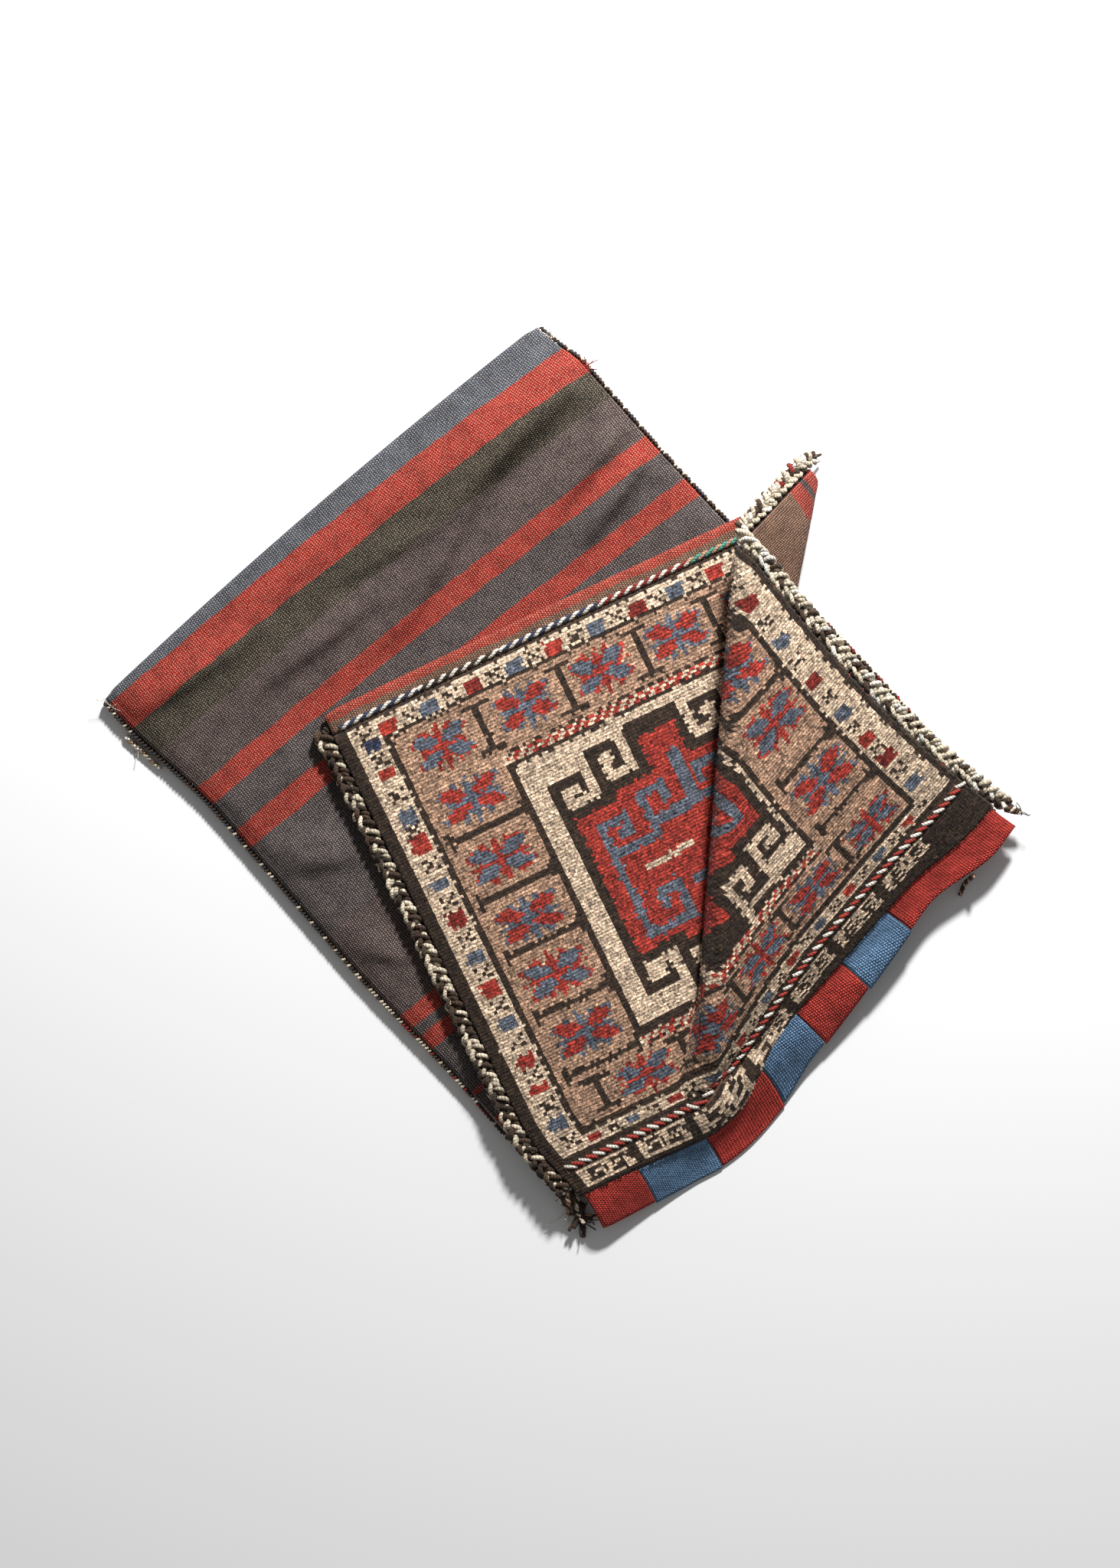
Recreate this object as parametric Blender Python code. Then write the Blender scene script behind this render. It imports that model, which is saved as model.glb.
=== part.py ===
"""A woven double saddle bag, folded in half at its bridge and lying flat.

One long strip of cloth makes the whole bag. From its first end it is the lower pouch's pile face, that
pouch's striped back, the bridge, the upper pouch's back and the upper pouch's pile face. Each face is
turned over at a bottom fold, and its sides are closed by a sewn cord. The upper pouch lies askew on the
lower one, and its right part is thrown back in one long pleat that runs out at the mouth.
Metres, +Z up. X runs along the lower pouch's weft, Y from its mouth to its bottom fold.
"""

import math

import bpy
import numpy as np

# The middle of the folded bag's outline, which stands over the origin
LAYOUT_CENTRE = (0.0467, -0.0101)

# The cloth
WIDTH = 0.506
POUCH_LENGTH = 0.513
PILE_THICKNESS = 0.006
KILIM_THICKNESS = 0.0026
POUCH_GAP = 0.005
SEAMED_GAP = 0.0015
SEAM_PINCH = 0.014
PLAIN_BAND = 0.016
MOUTH_STRIP = 0.036
PILE_STEP = 0.006
TOUCH = 0.0003
LAYER_REST = 0.0014

# The lower pouch and the bridge
LOWER_FOLD_Y = 0.3205
LOWER_FOLD_BOW = 0.0060
LOWER_FOLD_SKEW = 0.005
LOWER_FACE_LENGTH = 0.510
BRIDGE_FOLD_Y = -0.284
BRIDGE_FOLD_GAP = 0.004
BRIDGE_DROP_START = 0.012
BRIDGE_DROP_RUN = 0.042
LEFT_CORNER_FLARE = 0.011
LEFT_EDGE_TUCK = 0.006
RIGHT_CORNER_TUCK = 0.009
RIGHT_EDGE_SPREAD = 0.016
FOLD_END_ROUNDING = 0.020

# Soft ridges of the lower back: height, distance from the bottom fold, half-breadth, middle in X, reach in X
RIDGES = (
    (0.0075, 0.036, 0.020, 0.060, 0.160),
    (0.0045, 0.128, 0.028, 0.150, 0.080),
    (0.0030, 0.150, 0.024, -0.215, 0.050),
    (0.0030, 0.160, 0.016, 0.195, 0.050),
)

# The upper pouch: where it lies and how its pleat turns about the apex by the mouth
UPPER_CORNER_IN = 0.1256
UPPER_CORNER_UP = 0.1820
UPPER_TURN = math.radians(-15.1)
APEX_ACROSS = 0.145
APEX_DOWN = 0.443
VALLEY_SHORT = 0.022
VALLEY_TURN = math.radians(136.0)
RIDGE_TURN = math.radians(139.0)
ARCH_TURN = math.radians(13.0)
VALLEY_RADIUS = 0.0105
RIDGE_RADIUS = 0.0080
MOUTH_CORNER_PLAN = math.radians(-1.2)
RIDGE_DOWN_SEAM = 0.125
MOUTH_CORNER_PULL = 0.020
MOUTH_DIP = 0.016
FOLD_SIDE_SLACK = 0.010
MOUTH_SIDE_SPREAD = 0.012
MOUTH_DROOP_START = 0.014
MOUTH_DROOP_RUN = 0.050
TIP_DROOP_START = 0.016
TIP_DROOP_RUN = 0.075
BACK_TURN_START = 0.375
BACK_MOUTH = 0.470
MOUTH_BEND = 0.460

# How the mouth strip fans out past its right corner: direction in the flat cloth and turn, in degrees
FAN = ((-148.0, 0.0), (-128.0, 0.0), (-99.0, 5.5), (-57.0, 14.3), (-45.0, 20.5))

# The grid on which the pleat is worked out, about the apex: square roots of the reach, and directions
PLEAT_ROOTS = np.linspace(0.10, 0.87, 56)
PLEAT_START = math.radians(212.0)
PLEAT_STEP = math.radians(0.1)
PLEAT_COLUMNS = 3602

# The cords that close the sides
BRAID_BREADTH = 0.0140
BRAID_BULGE = 0.10
BRAID_PITCH = 0.018
BRAID_START = 0.008
BRAID_SHORT = 0.022
BRAID_FREE_END = 0.022
OVERCAST_BREADTH = 0.0045
SEAM_PROUD = 0.0005
SEAM_CLEAR = 0.0010
SEAM_TIP_CLEAR = 0.0030
SEAM_TIP_RUN = 0.040
SEAM_RUN_OUT = 0.030
BRAID_SIDES = 8
OVERCAST_SIDES = 6

# Loose yarns and cord ends
CORD_END_RADIUS = 0.0026
KNOT_RADIUS = 0.0052
BUNCH_RADIUS = 0.0085
TAIL_RADIUS = 0.0014
THREAD_RADIUS = 0.0030
BUNCH_LENGTH = 0.026
CORD_END_LENGTH = 0.016
CLOSURE_CORD_AT = 0.447
KNOT_LENGTH = 0.014
THREAD_START = 0.034
THREAD_LENGTH = 0.042

LEFT_COLUMNS = 5
LEFT_CROWDING = 2.0
RIGHT_COLUMNS = 4
BEND_COLUMNS = 4
COLUMN_ROOM = 0.0015
FOLD_STEPS = 4

# Stripes of the kilim back: breadth measured from the bottom fold, colour
STRIPES = (
    (0.022, "blue_grey_wool"),
    (0.026, "red_wool"),
    (0.021, "green_wool"),
    (0.058, "charcoal_wool"),
    (0.016, "red_wool"),
    (0.027, "charcoal_wool"),
    (0.019, "red_wool"),
    (0.190, "charcoal_wool"),
    (0.017, "red_wool"),
    (0.008, "charcoal_wool"),
    (0.014, "red_wool"),
    (0.070, "charcoal_wool"),
)
WOOLS = {
    "blue_grey_wool": (0.073, 0.104, 0.150),
    "red_wool": (0.430, 0.058, 0.044),
    "green_wool": (0.030, 0.034, 0.024),
    "charcoal_wool": (0.047, 0.034, 0.040),
    "blue_wool": (0.085, 0.150, 0.250),
    "camel_wool": (0.420, 0.270, 0.160),
    "brown_wool": (0.036, 0.024, 0.015),
    "ivory_wool": (0.720, 0.620, 0.480),
}


def clear_scene():
    for thing in list(bpy.data.objects):
        bpy.data.objects.remove(thing, do_unlink=True)


def wool(name):
    """The matt woollen material of one dye."""
    found = bpy.data.materials.get(name)
    if found:
        return found
    material = bpy.data.materials.new(name)
    material.use_nodes = True
    shader = material.node_tree.nodes["Principled BSDF"]
    shader.inputs["Base Color"].default_value = (*WOOLS[name], 1.0)
    shader.inputs["Roughness"].default_value = 0.92
    shader.inputs["Metallic"].default_value = 0.0
    return material


def ease(x):
    """0 before 0, 1 after 1, smooth between."""
    x = np.clip(x, 0.0, 1.0)
    return x * x * (3.0 - 2.0 * x)


def mix(a, b, share):
    return a + (b - a) * share


def points_at(x, y, z):
    """Points from coordinates, each of them a number or one value for every column."""
    return np.stack(np.broadcast_arrays(x, y, z), -1)


def unit(vectors):
    return vectors / np.maximum(np.linalg.norm(vectors, axis=-1, keepdims=True), 1e-12)


def gap_across(p, full_gap):
    """The pouch's inner gap at a distance p from the left seam: it closes towards both seams."""
    edge = np.minimum(p, WIDTH - p)
    return mix(SEAMED_GAP, full_gap, ease(edge / SEAM_PINCH))


def face_thickness(q):
    """The face's thickness at a distance q from the bottom fold: the pile stands between flat bands."""
    pile_end = POUCH_LENGTH - MOUTH_STRIP
    rise = ease((q - PLAIN_BAND) / PILE_STEP)
    fall = ease((q - pile_end) / PILE_STEP)
    return mix(KILIM_THICKNESS, PILE_THICKNESS, rise * (1.0 - fall))


# The lower pouch


def lower_plan(p, share):
    """X and Y of the lower pouch's cloth, at share 0 on the bottom fold and 1 on the bridge fold."""
    x = p - WIDTH / 2
    fold = LOWER_FOLD_Y + LOWER_FOLD_BOW * (1.0 - (2.0 * x / WIDTH) ** 2) - LOWER_FOLD_SKEW * x
    y = mix(fold, BRIDGE_FOLD_Y, share)
    rounding = FOLD_END_ROUNDING * ease((share - 0.93) / 0.07)
    left = -LEFT_CORNER_FLARE * ease((y - 0.18) / 0.13) + LEFT_EDGE_TUCK * ease(-y / 0.16) + rounding
    right = mix(0.0, RIGHT_EDGE_SPREAD, ease((0.22 - y) / 0.45)) - RIGHT_CORNER_TUCK * ease(
        (y - 0.27) / 0.05
    )
    return x + mix(left, right - rounding * 0.2, p / WIDTH), y


def lower_gap(p, distance):
    """The lower pouch's inner height: the flat gap and the soft ridges of its back."""
    x = p - WIDTH / 2
    height = POUCH_GAP
    for lift, down, breadth, middle, reach in RIDGES:
        height = height + lift * np.exp(
            -(((distance - down) / breadth) ** 2) - ((x - middle) / reach) ** 2
        )
    return gap_across(p, height)


def lower_length():
    return LOWER_FOLD_Y - BRIDGE_FOLD_Y


def lower_face_row(p, distance):
    """The pile face that lies on the floor, pile down: its pile side and its wrong side."""
    x, y = lower_plan(p, distance / lower_length())
    return (
        points_at(x, y, PILE_THICKNESS - face_thickness(distance)),
        points_at(x, y, PILE_THICKNESS),
    )


def lower_back_row(p, distance):
    """The striped back, and past the mouth the bridge, which comes down to the floor."""
    x, y = lower_plan(p, distance / lower_length())
    drop = ease((distance - LOWER_FACE_LENGTH - BRIDGE_DROP_START) / BRIDGE_DROP_RUN)
    under = mix(PILE_THICKNESS + lower_gap(p, distance), TOUCH, drop)
    return points_at(x, y, under + KILIM_THICKNESS), points_at(x, y, under)


def fold_sides(centre, reach, rise, inner_radius, turn):
    """Both sides of a fold at one turn, from -1 under its centre line to 1 over it.

    reach points away from the folded cloth and rise from its lower layer to its upper one.
    """
    angle = turn * math.pi / 2
    swing = reach * math.cos(angle) + rise * math.sin(angle)
    near = centre + swing * inner_radius[..., None]
    return near + swing * KILIM_THICKNESS, near


def lower_fold_row(p, turn):
    """The lower pouch's bottom fold, from its face to its back."""
    x, y = lower_plan(p, 0.0)
    gap = lower_gap(p, 0.0)
    centre = points_at(x, y, PILE_THICKNESS + gap / 2)
    return fold_sides(centre, np.array([0.0, 1.0, 0.0]), np.array([0.0, 0.0, 1.0]), gap / 2, turn)


def bridge_fold_row(p, turn):
    """The fold that lays the upper pouch on the lower one. Here the striped side is the inside."""
    x, y = lower_plan(p, 1.0)
    radius = BRIDGE_FOLD_GAP / 2
    centre = points_at(x, y, TOUCH + KILIM_THICKNESS + radius)
    wrong, striped = fold_sides(
        centre, np.array([0.0, -1.0, 0.0]), np.array([0.0, 0.0, 1.0]), radius + 0.0 * p, turn
    )
    return striped, wrong


# The upper pouch


def turned(angle):
    return np.array([math.cos(angle), math.sin(angle)])


def cloth_angle(p, q):
    """The direction, in the unpleated cloth, of a point of the upper pouch as seen from the apex."""
    across, down = p - APEX_ACROSS, q - APEX_DOWN
    angle = UPPER_TURN - np.arctan2(down, across)
    cut = math.radians(-148.0)
    return np.where(angle < cut, angle + 2 * math.pi, angle)


def pleat_grid():
    """Where the cloth about the apex lies: its direction seen from above and its lift, by reach from the
    apex and by direction in the unpleated cloth.

    Left of the valley nothing moves. At the valley the cloth turns over in an arc, at the ridge it turns
    back, and it arches on to the mouth's right corner. Past that corner the mouth strip fans out again.
    Near the apex both arcs run into each other, so the pleat ends in a soft wave there.
    """
    valley = float(cloth_angle(WIDTH - VALLEY_SHORT, 0.0))
    ridge = float(cloth_angle(WIDTH, RIDGE_DOWN_SEAM))
    corner = float(cloth_angle(WIDTH, POUCH_LENGTH))
    cloth = PLEAT_START - PLEAT_STEP * np.arange(PLEAT_COLUMNS)
    reach = (PLEAT_ROOTS**2)[:, None]
    widest = math.radians(60.0)
    valley_half = np.minimum(VALLEY_RADIUS * VALLEY_TURN / 2 / reach, widest)
    ridge_half = np.minimum(RIDGE_RADIUS * RIDGE_TURN / 2 / reach, widest)
    foot_half = math.radians(4.0)
    bends = (
        (valley, VALLEY_TURN, valley_half),
        (ridge, -RIDGE_TURN, ridge_half),
        ((ridge + corner) / 2, -ARCH_TURN, (ridge - corner) / 2),
        (corner + foot_half, RIDGE_TURN + ARCH_TURN - VALLEY_TURN, foot_half),
    )
    heading = 0.0
    for at, turn, half in bends:
        heading = heading + turn * np.clip((at + half - cloth) / (2 * half), 0.0, 1.0)
    plan = PLEAT_START - np.cumsum(np.cos(heading), axis=1) * PLEAT_STEP
    lift = np.cumsum(np.sin(heading), axis=1) * PLEAT_STEP
    eased_from = np.maximum(ridge - ridge_half, (ridge + corner) / 2)
    share = np.clip((eased_from - cloth) / (eased_from - corner), 0.0, 1.0)
    last = int((PLEAT_START - corner) / PLEAT_STEP)
    plan = plan + share * (MOUTH_CORNER_PLAN - plan[:, last : last + 1])
    lift = lift - share * lift[:, last : last + 1]
    fan_cloth = [math.radians(cloth_way) for cloth_way, _ in FAN] + [corner]
    fan_plan = [math.radians(cloth_way + turn) for cloth_way, turn in FAN] + [MOUTH_CORNER_PLAN]
    past = cloth < corner
    plan = np.where(past, np.interp(cloth, fan_cloth, fan_plan), plan)
    return plan, np.where(past, 0.0, lift)


def pleat_direction(angle, reach):
    """The plan direction and lift of the cloth at a cloth direction and a reach from the apex."""
    row = (np.sqrt(reach) - PLEAT_ROOTS[0]) / (PLEAT_ROOTS[1] - PLEAT_ROOTS[0])
    column = (PLEAT_START - angle) / PLEAT_STEP - 1.0
    row = np.clip(row, 0.0, len(PLEAT_ROOTS) - 1.001)
    column = np.clip(column, 0.0, PLEAT_COLUMNS - 1.001)
    i, j = row.astype(int), column.astype(int)
    found = []
    for grid in PLEAT_GRID:
        near = mix(grid[i, j], grid[i, j + 1], column - j)
        far = mix(grid[i + 1, j], grid[i + 1, j + 1], column - j)
        found.append(mix(near, far, row - i))
    return found


def upper_rest_height(x, y):
    """The height of the upper pouch's middle where it lies flat: level over the lower pouch, and down to
    the floor past the bridge fold and past the lower pouch's right seam."""
    on_pouch = (
        PILE_THICKNESS + POUCH_GAP + KILIM_THICKNESS + LAYER_REST + KILIM_THICKNESS + POUCH_GAP / 2
    )
    strip_on_floor = TOUCH - POUCH_GAP / 2
    tip_on_floor = TOUCH + KILIM_THICKNESS + POUCH_GAP / 2
    right_edge = WIDTH / 2 + TIP_DROOP_START + mix(0.0, RIGHT_EDGE_SPREAD, ease((0.22 - y) / 0.45))
    droop = ease((BRIDGE_FOLD_Y - MOUTH_DROOP_START - y) / MOUTH_DROOP_RUN)
    tip = ease((x - right_edge) / TIP_DROOP_RUN)
    height = mix(on_pouch, strip_on_floor, droop)
    return mix(height, np.minimum(height, tip_on_floor), tip)


def upper_middle(p, q):
    """The middle surface of the upper pouch, at p from its left seam and q from its bottom fold.

    Between its corners the mouth is drawn in a little.
    """
    dip = MOUTH_DIP * ease((p - 0.12) / 0.12) * ease((0.48 - p) / 0.08)
    q = q - dip * ease((q - 0.40) / 0.113)
    across, down = turned(UPPER_TURN), turned(UPPER_TURN - math.pi / 2)
    corner = np.array([UPPER_CORNER_IN - WIDTH / 2, UPPER_CORNER_UP])
    apex = corner + APEX_ACROSS * across + APEX_DOWN * down
    spread = mix(-FOLD_SIDE_SLACK, MOUTH_SIDE_SPREAD, q / POUCH_LENGTH) * p / WIDTH
    reach = np.hypot(p + spread - APEX_ACROSS, q - APEX_DOWN)
    plan, lift = pleat_direction(cloth_angle(p, q), reach)
    level = reach * np.cos(lift)
    pull = MOUTH_CORNER_PULL * ease((q - 0.40) / 0.10) * ease(1.0 - p / 0.16)
    x = apex[0] + level * np.cos(plan) + pull * across[0]
    y = apex[1] + level * np.sin(plan) + pull * across[1]
    return points_at(x, y, upper_rest_height(x, y) + reach * np.sin(lift))


def upper_axes(p, q):
    """Unit directions across, down towards the mouth, and out through the face, at a point."""
    step = 0.002
    across = unit(upper_middle(p + step, q) - upper_middle(p - step, q))
    down = unit(upper_middle(p, q + step) - upper_middle(p, q - step))
    outward = unit(np.cross(down, across))
    return across, down, outward


def upper_face_row(p, q):
    """The pile face of the upper pouch: its pile side and its wrong side."""
    near = upper_middle(p, q)
    outward = upper_axes(p, q)[2]
    wrong = near + outward * gap_across(p, POUCH_GAP)[..., None] / 2
    return wrong + outward * face_thickness(q), wrong


def upper_back_row(p, q):
    """The back of the upper pouch; near the mouth it turns in to meet the bridge fold."""
    outward = upper_axes(p, q)[2]
    wrong = upper_middle(p, q) - outward * gap_across(p, POUCH_GAP)[..., None] / 2
    striped = wrong - outward * KILIM_THICKNESS
    x, y = lower_plan(p, 1.0)
    fold_top = TOUCH + KILIM_THICKNESS + BRIDGE_FOLD_GAP
    share = ease((q - BACK_TURN_START) / (BACK_MOUTH - BACK_TURN_START))
    return (
        mix(striped, points_at(x, y, fold_top), share),
        mix(wrong, points_at(x, y, fold_top + KILIM_THICKNESS), share),
    )


def upper_fold_row(p, turn):
    """The upper pouch's bottom fold, from its back to its face."""
    down, outward = upper_axes(p, 0.0)[1:]
    return fold_sides(upper_middle(p, 0.0), -down, outward, gap_across(p, POUCH_GAP) / 2, turn)


PLEAT_GRID = pleat_grid()


# The strip

VALLEY_END = (WIDTH - VALLEY_SHORT, 0.0)
RIDGE_END = (WIDTH, RIDGE_DOWN_SEAM)


def crease_at(q, end):
    """Where a crease that runs from the apex to its end, which is (across, down), crosses the row at q."""
    slope = (end[0] - APEX_ACROSS) / (APEX_DOWN - end[1])
    return APEX_ACROSS + max(APEX_DOWN - q, 0.0) * slope


def bend_breadth(radius, turn, end):
    """Half the breadth of a crease's arc, measured along a row."""
    down, across = APEX_DOWN - end[1], end[0] - APEX_ACROSS
    return radius * turn / 2 * math.hypot(down, across) / down


def gathered_columns(q):
    """Where the columns of one row stand across the cloth: close together over both creases and by the
    seams, and closer towards the valley. Past the right seam a crease's columns crowd up against it."""
    valley_half = bend_breadth(VALLEY_RADIUS, VALLEY_TURN, VALLEY_END)
    ridge_half = bend_breadth(RIDGE_RADIUS, RIDGE_TURN, RIDGE_END)
    valley = min(crease_at(q, VALLEY_END), WIDTH - valley_half / 2)
    ridge = max(crease_at(q, RIDGE_END), valley + ridge_half)
    between = (valley + ridge) / 2
    valley_end = min(valley + valley_half, between)
    ridge_start = max(ridge - ridge_half, between)
    flat = valley - valley_half - SEAM_PINCH
    left = [1.0 - (1.0 - share) ** LEFT_CROWDING for share in spaced(0.0, 1.0, LEFT_COLUMNS)]
    places = [0.0, SEAM_PINCH / 2] + [SEAM_PINCH + flat * share for share in left]
    places += spaced(valley - valley_half, valley_end, BEND_COLUMNS)[1:]
    places += spaced(ridge_start, ridge + ridge_half, BEND_COLUMNS)
    places += spaced(ridge + ridge_half, WIDTH - SEAM_PINCH, RIGHT_COLUMNS)[1:]
    places += [WIDTH - SEAM_PINCH / 2, WIDTH]
    for column in range(len(places) - 2, 0, -1):
        places[column] = min(places[column], places[column + 1] - COLUMN_ROOM)
    return np.array(places)


def even_columns():
    """As many columns, spread evenly between the seams."""
    count = len(gathered_columns(0.0)) - 5
    inner = spaced(SEAM_PINCH, WIDTH - SEAM_PINCH, count)
    return np.array([0.0, SEAM_PINCH / 2] + inner + [WIDTH - SEAM_PINCH / 2, WIDTH])


def turns():
    """The turns of one fold between its two ends."""
    return np.linspace(-1.0, 1.0, FOLD_STEPS + 2)[1:-1]


def spaced(start, end, steps):
    return list(np.linspace(start, end, steps + 1))


def lower_back_bands():
    """Distances from the bottom fold along the lower back and the bridge, each with its stripe's dye."""
    bands = [(0.0, STRIPES[0][1])]
    edge = 0.0
    for breadth, dye in STRIPES:
        steps = max(1, round(breadth / 0.030))
        bands += [(distance, dye) for distance in spaced(edge, edge + breadth, steps)[1:]]
        edge += breadth
    mouth = LOWER_FACE_LENGTH + BRIDGE_DROP_START
    drop = [mouth + BRIDGE_DROP_RUN * share for share in (0.0, 0.35, 0.65, 1.0)]
    flat = spaced(drop[-1], lower_length(), 3)[1:]
    return bands + [(distance, "charcoal_wool") for distance in drop + flat]


def shared_rows():
    """Rows of the upper pouch that its face and its back have in common, close where the ridge meets the
    right seam."""
    half = bend_breadth(RIDGE_RADIUS, RIDGE_TURN, RIDGE_END)
    start, end = RIDGE_DOWN_SEAM - half, RIDGE_DOWN_SEAM + half
    rows = [0.0, PLAIN_BAND] + spaced(PLAIN_BAND + PILE_STEP, start, 2)
    return rows + spaced(start, end, 4)[1:] + spaced(end, BACK_TURN_START, 7)[1:]


def strip_rows():
    """Every row of the strip: its right side, its wrong side and the dye of the band that ends there."""
    rows = []
    pile_end = POUCH_LENGTH - MOUTH_STRIP
    even = even_columns()

    lower_face = [LOWER_FACE_LENGTH, pile_end + PILE_STEP, pile_end]
    lower_face += spaced(pile_end, PLAIN_BAND + PILE_STEP, 5)[1:]
    lower_face += [PLAIN_BAND, 0.0]
    for distance in lower_face:
        rows.append((*lower_face_row(even, distance), "camel_wool"))
    for turn in turns():
        rows.append((*lower_fold_row(even, turn), "brown_wool"))
    for distance, dye in lower_back_bands():
        rows.append((*lower_back_row(even, distance), dye))
    for turn in turns():
        rows.append((*bridge_fold_row(even, turn), "charcoal_wool"))
    shared = shared_rows()
    for q in spaced(BACK_MOUTH, BACK_TURN_START, 4)[:-1] + shared[::-1]:
        columns = gathered_columns(q)
        rows.append((*upper_back_row(columns, q), "charcoal_wool"))
    for turn in turns():
        rows.append((*upper_fold_row(gathered_columns(0.0), turn), "red_wool"))
    face = shared + spaced(shared[-1], MOUTH_BEND, 2)[1:]
    face += [pile_end, pile_end + PILE_STEP, POUCH_LENGTH - MOUTH_STRIP / 2, POUCH_LENGTH]
    for q in face:
        columns = gathered_columns(q)
        if q >= pile_end:
            dye = "red_wool"
        elif q <= PLAIN_BAND:
            dye = "brown_wool"
        else:
            dye = "camel_wool"
        rows.append((*upper_face_row(columns, q), dye))
    return rows


def add_object(name, points, faces, dyes, face_dyes=None, smooth=True):
    mesh = bpy.data.meshes.new(name)
    mesh.from_pydata([tuple(map(float, point)) for point in points], [], faces)
    for dye in dyes:
        mesh.materials.append(wool(dye))
    if face_dyes:
        mesh.polygons.foreach_set("material_index", [dyes.index(dye) for dye in face_dyes])
    if smooth:
        mesh.shade_smooth()
    mesh.validate()
    mesh.update()
    thing = bpy.data.objects.new(name, mesh)
    thing.location = (-LAYOUT_CENTRE[0], -LAYOUT_CENTRE[1], 0.0)
    bpy.context.scene.collection.objects.link(thing)
    return thing


def make_strip():
    """The whole cloth as one closed solid: a pile side, a wrong side and a rim."""
    rows = strip_rows()
    outer = np.array([row[0] for row in rows])
    inner = np.array([row[1] for row in rows])
    count, wide = outer.shape[:2]
    points = np.concatenate([outer.reshape(-1, 3), inner.reshape(-1, 3)])
    below = count * wide
    faces, face_dyes = [], []

    def quad(a, b, c, d, dye):
        faces.append((a, b, c, d))
        face_dyes.append(dye)

    for i in range(count - 1):
        dye = rows[i + 1][2]
        for j in range(wide - 1):
            a, b = i * wide + j, i * wide + j + 1
            c, d = b + wide, a + wide
            quad(a, d, c, b, dye)
            quad(below + a, below + b, below + c, below + d, dye)
        for side, first, second in ((0, 0, below), (wide - 1, below, 0)):
            a, d = i * wide + side, (i + 1) * wide + side
            quad(first + a, second + a, second + d, first + d, dye)
    for i, first, second in ((0, below, 0), (count - 1, 0, below)):
        for j in range(wide - 1):
            a, b = i * wide + j, i * wide + j + 1
            quad(first + a, second + a, second + b, first + b, rows[i][2])
    dyes = sorted(set(face_dyes))
    return add_object("woven_strip", points, faces, dyes, face_dyes)


# Cords and yarns


def tube(name, path, sizes, outs, sides, dye):
    """A closed solid along a path. sizes are half-breadths along outs and across them."""
    path, sizes, outs = np.array(path), np.array(sizes), unit(np.array(outs))
    steps = np.linalg.norm(np.diff(path, axis=0), axis=1)
    travel = np.concatenate([[0.0], np.cumsum(steps)])
    along = unit(np.gradient(path, travel, axis=0))
    outs = unit(outs - along * (outs * along).sum(-1, keepdims=True))
    ups = np.cross(along, outs)
    points, faces = [], []
    for centre, size, out, up in zip(path, sizes, outs, ups):
        for side in range(sides):
            angle = 2 * math.pi * side / sides
            points.append(
                centre + out * size[0] * math.cos(angle) + up * size[1] * math.sin(angle)
            )
    for ring in range(len(path) - 1):
        for side in range(sides):
            a = ring * sides + side
            b = ring * sides + (side + 1) % sides
            faces.append((a, b, b + sides, a + sides))
    faces.append(tuple(reversed(range(sides))))
    last = (len(path) - 1) * sides
    faces.append(tuple(last + side for side in range(sides)))
    return add_object(name, points, faces, [dye])


def braid_swell(distance):
    """The braid's breadth rises and falls with each crossing of its strands."""
    return 1.0 - BRAID_BULGE * (0.5 + 0.5 * math.cos(2 * math.pi * distance / BRAID_PITCH))


def free_end(share):
    """The middle of the right braid's free end: share 0 at the corner and 1 at the tip."""
    edge, q = np.array([WIDTH]), np.array([BRAID_START])
    across, down, outward = (axis[0] for axis in upper_axes(edge, q))
    start = upper_middle(edge, q)[0] + outward * (PILE_THICKNESS - KILIM_THICKNESS) / 2
    start = start + across * (BRAID_BREADTH / 2 + SEAM_TIP_CLEAR)
    reach = BRAID_FREE_END * share
    aside = turned(UPPER_TURN - math.pi / 4)
    hook = 0.25 * reach * share
    return start - down * reach + np.array([aside[0] * hook, aside[1] * hook, -0.3 * reach * share])


def make_upper_braid(name, at_right):
    """The braid over one side of the upper pouch, from just past the bottom fold to the mouth."""
    edge = np.array([WIDTH if at_right else 0.0])
    side = 1.0 if at_right else -1.0
    stack = PILE_THICKNESS + SEAMED_GAP + KILIM_THICKNESS
    lean = (PILE_THICKNESS - KILIM_THICKNESS) / 2
    half_breadth = BRAID_BREADTH / 2
    path, sizes, outs = [], [], []
    end = POUCH_LENGTH - BRAID_SHORT if at_right else BACK_MOUTH
    count = int(round((end - BRAID_START) / (BRAID_PITCH / 2)))
    for step in range(count + 1):
        q = np.array([mix(BRAID_START, end, step / count)])
        across, down, outward = (axis[0] for axis in upper_axes(edge, q))
        swell = braid_swell(float(q[0]))
        lift = stack / 2 + SEAM_PROUD
        centre = upper_middle(edge, q)[0] + outward * lean
        clear = mix(SEAM_TIP_CLEAR, SEAM_CLEAR, float(ease(q[0] / SEAM_TIP_RUN)))
        path.append(centre + across * side * (half_breadth + clear))
        sizes.append((half_breadth * swell, lift * swell))
        outs.append(across * side)
    if at_right:
        for share in (0.35, 0.7, 1.0):
            path.insert(0, free_end(share))
            sizes.insert(0, (half_breadth * mix(0.95, 0.75, share), lift * mix(0.95, 0.75, share)))
            outs.insert(0, outs[0])
    return tube(name, path, sizes, outs, BRAID_SIDES, "ivory_wool")


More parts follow.
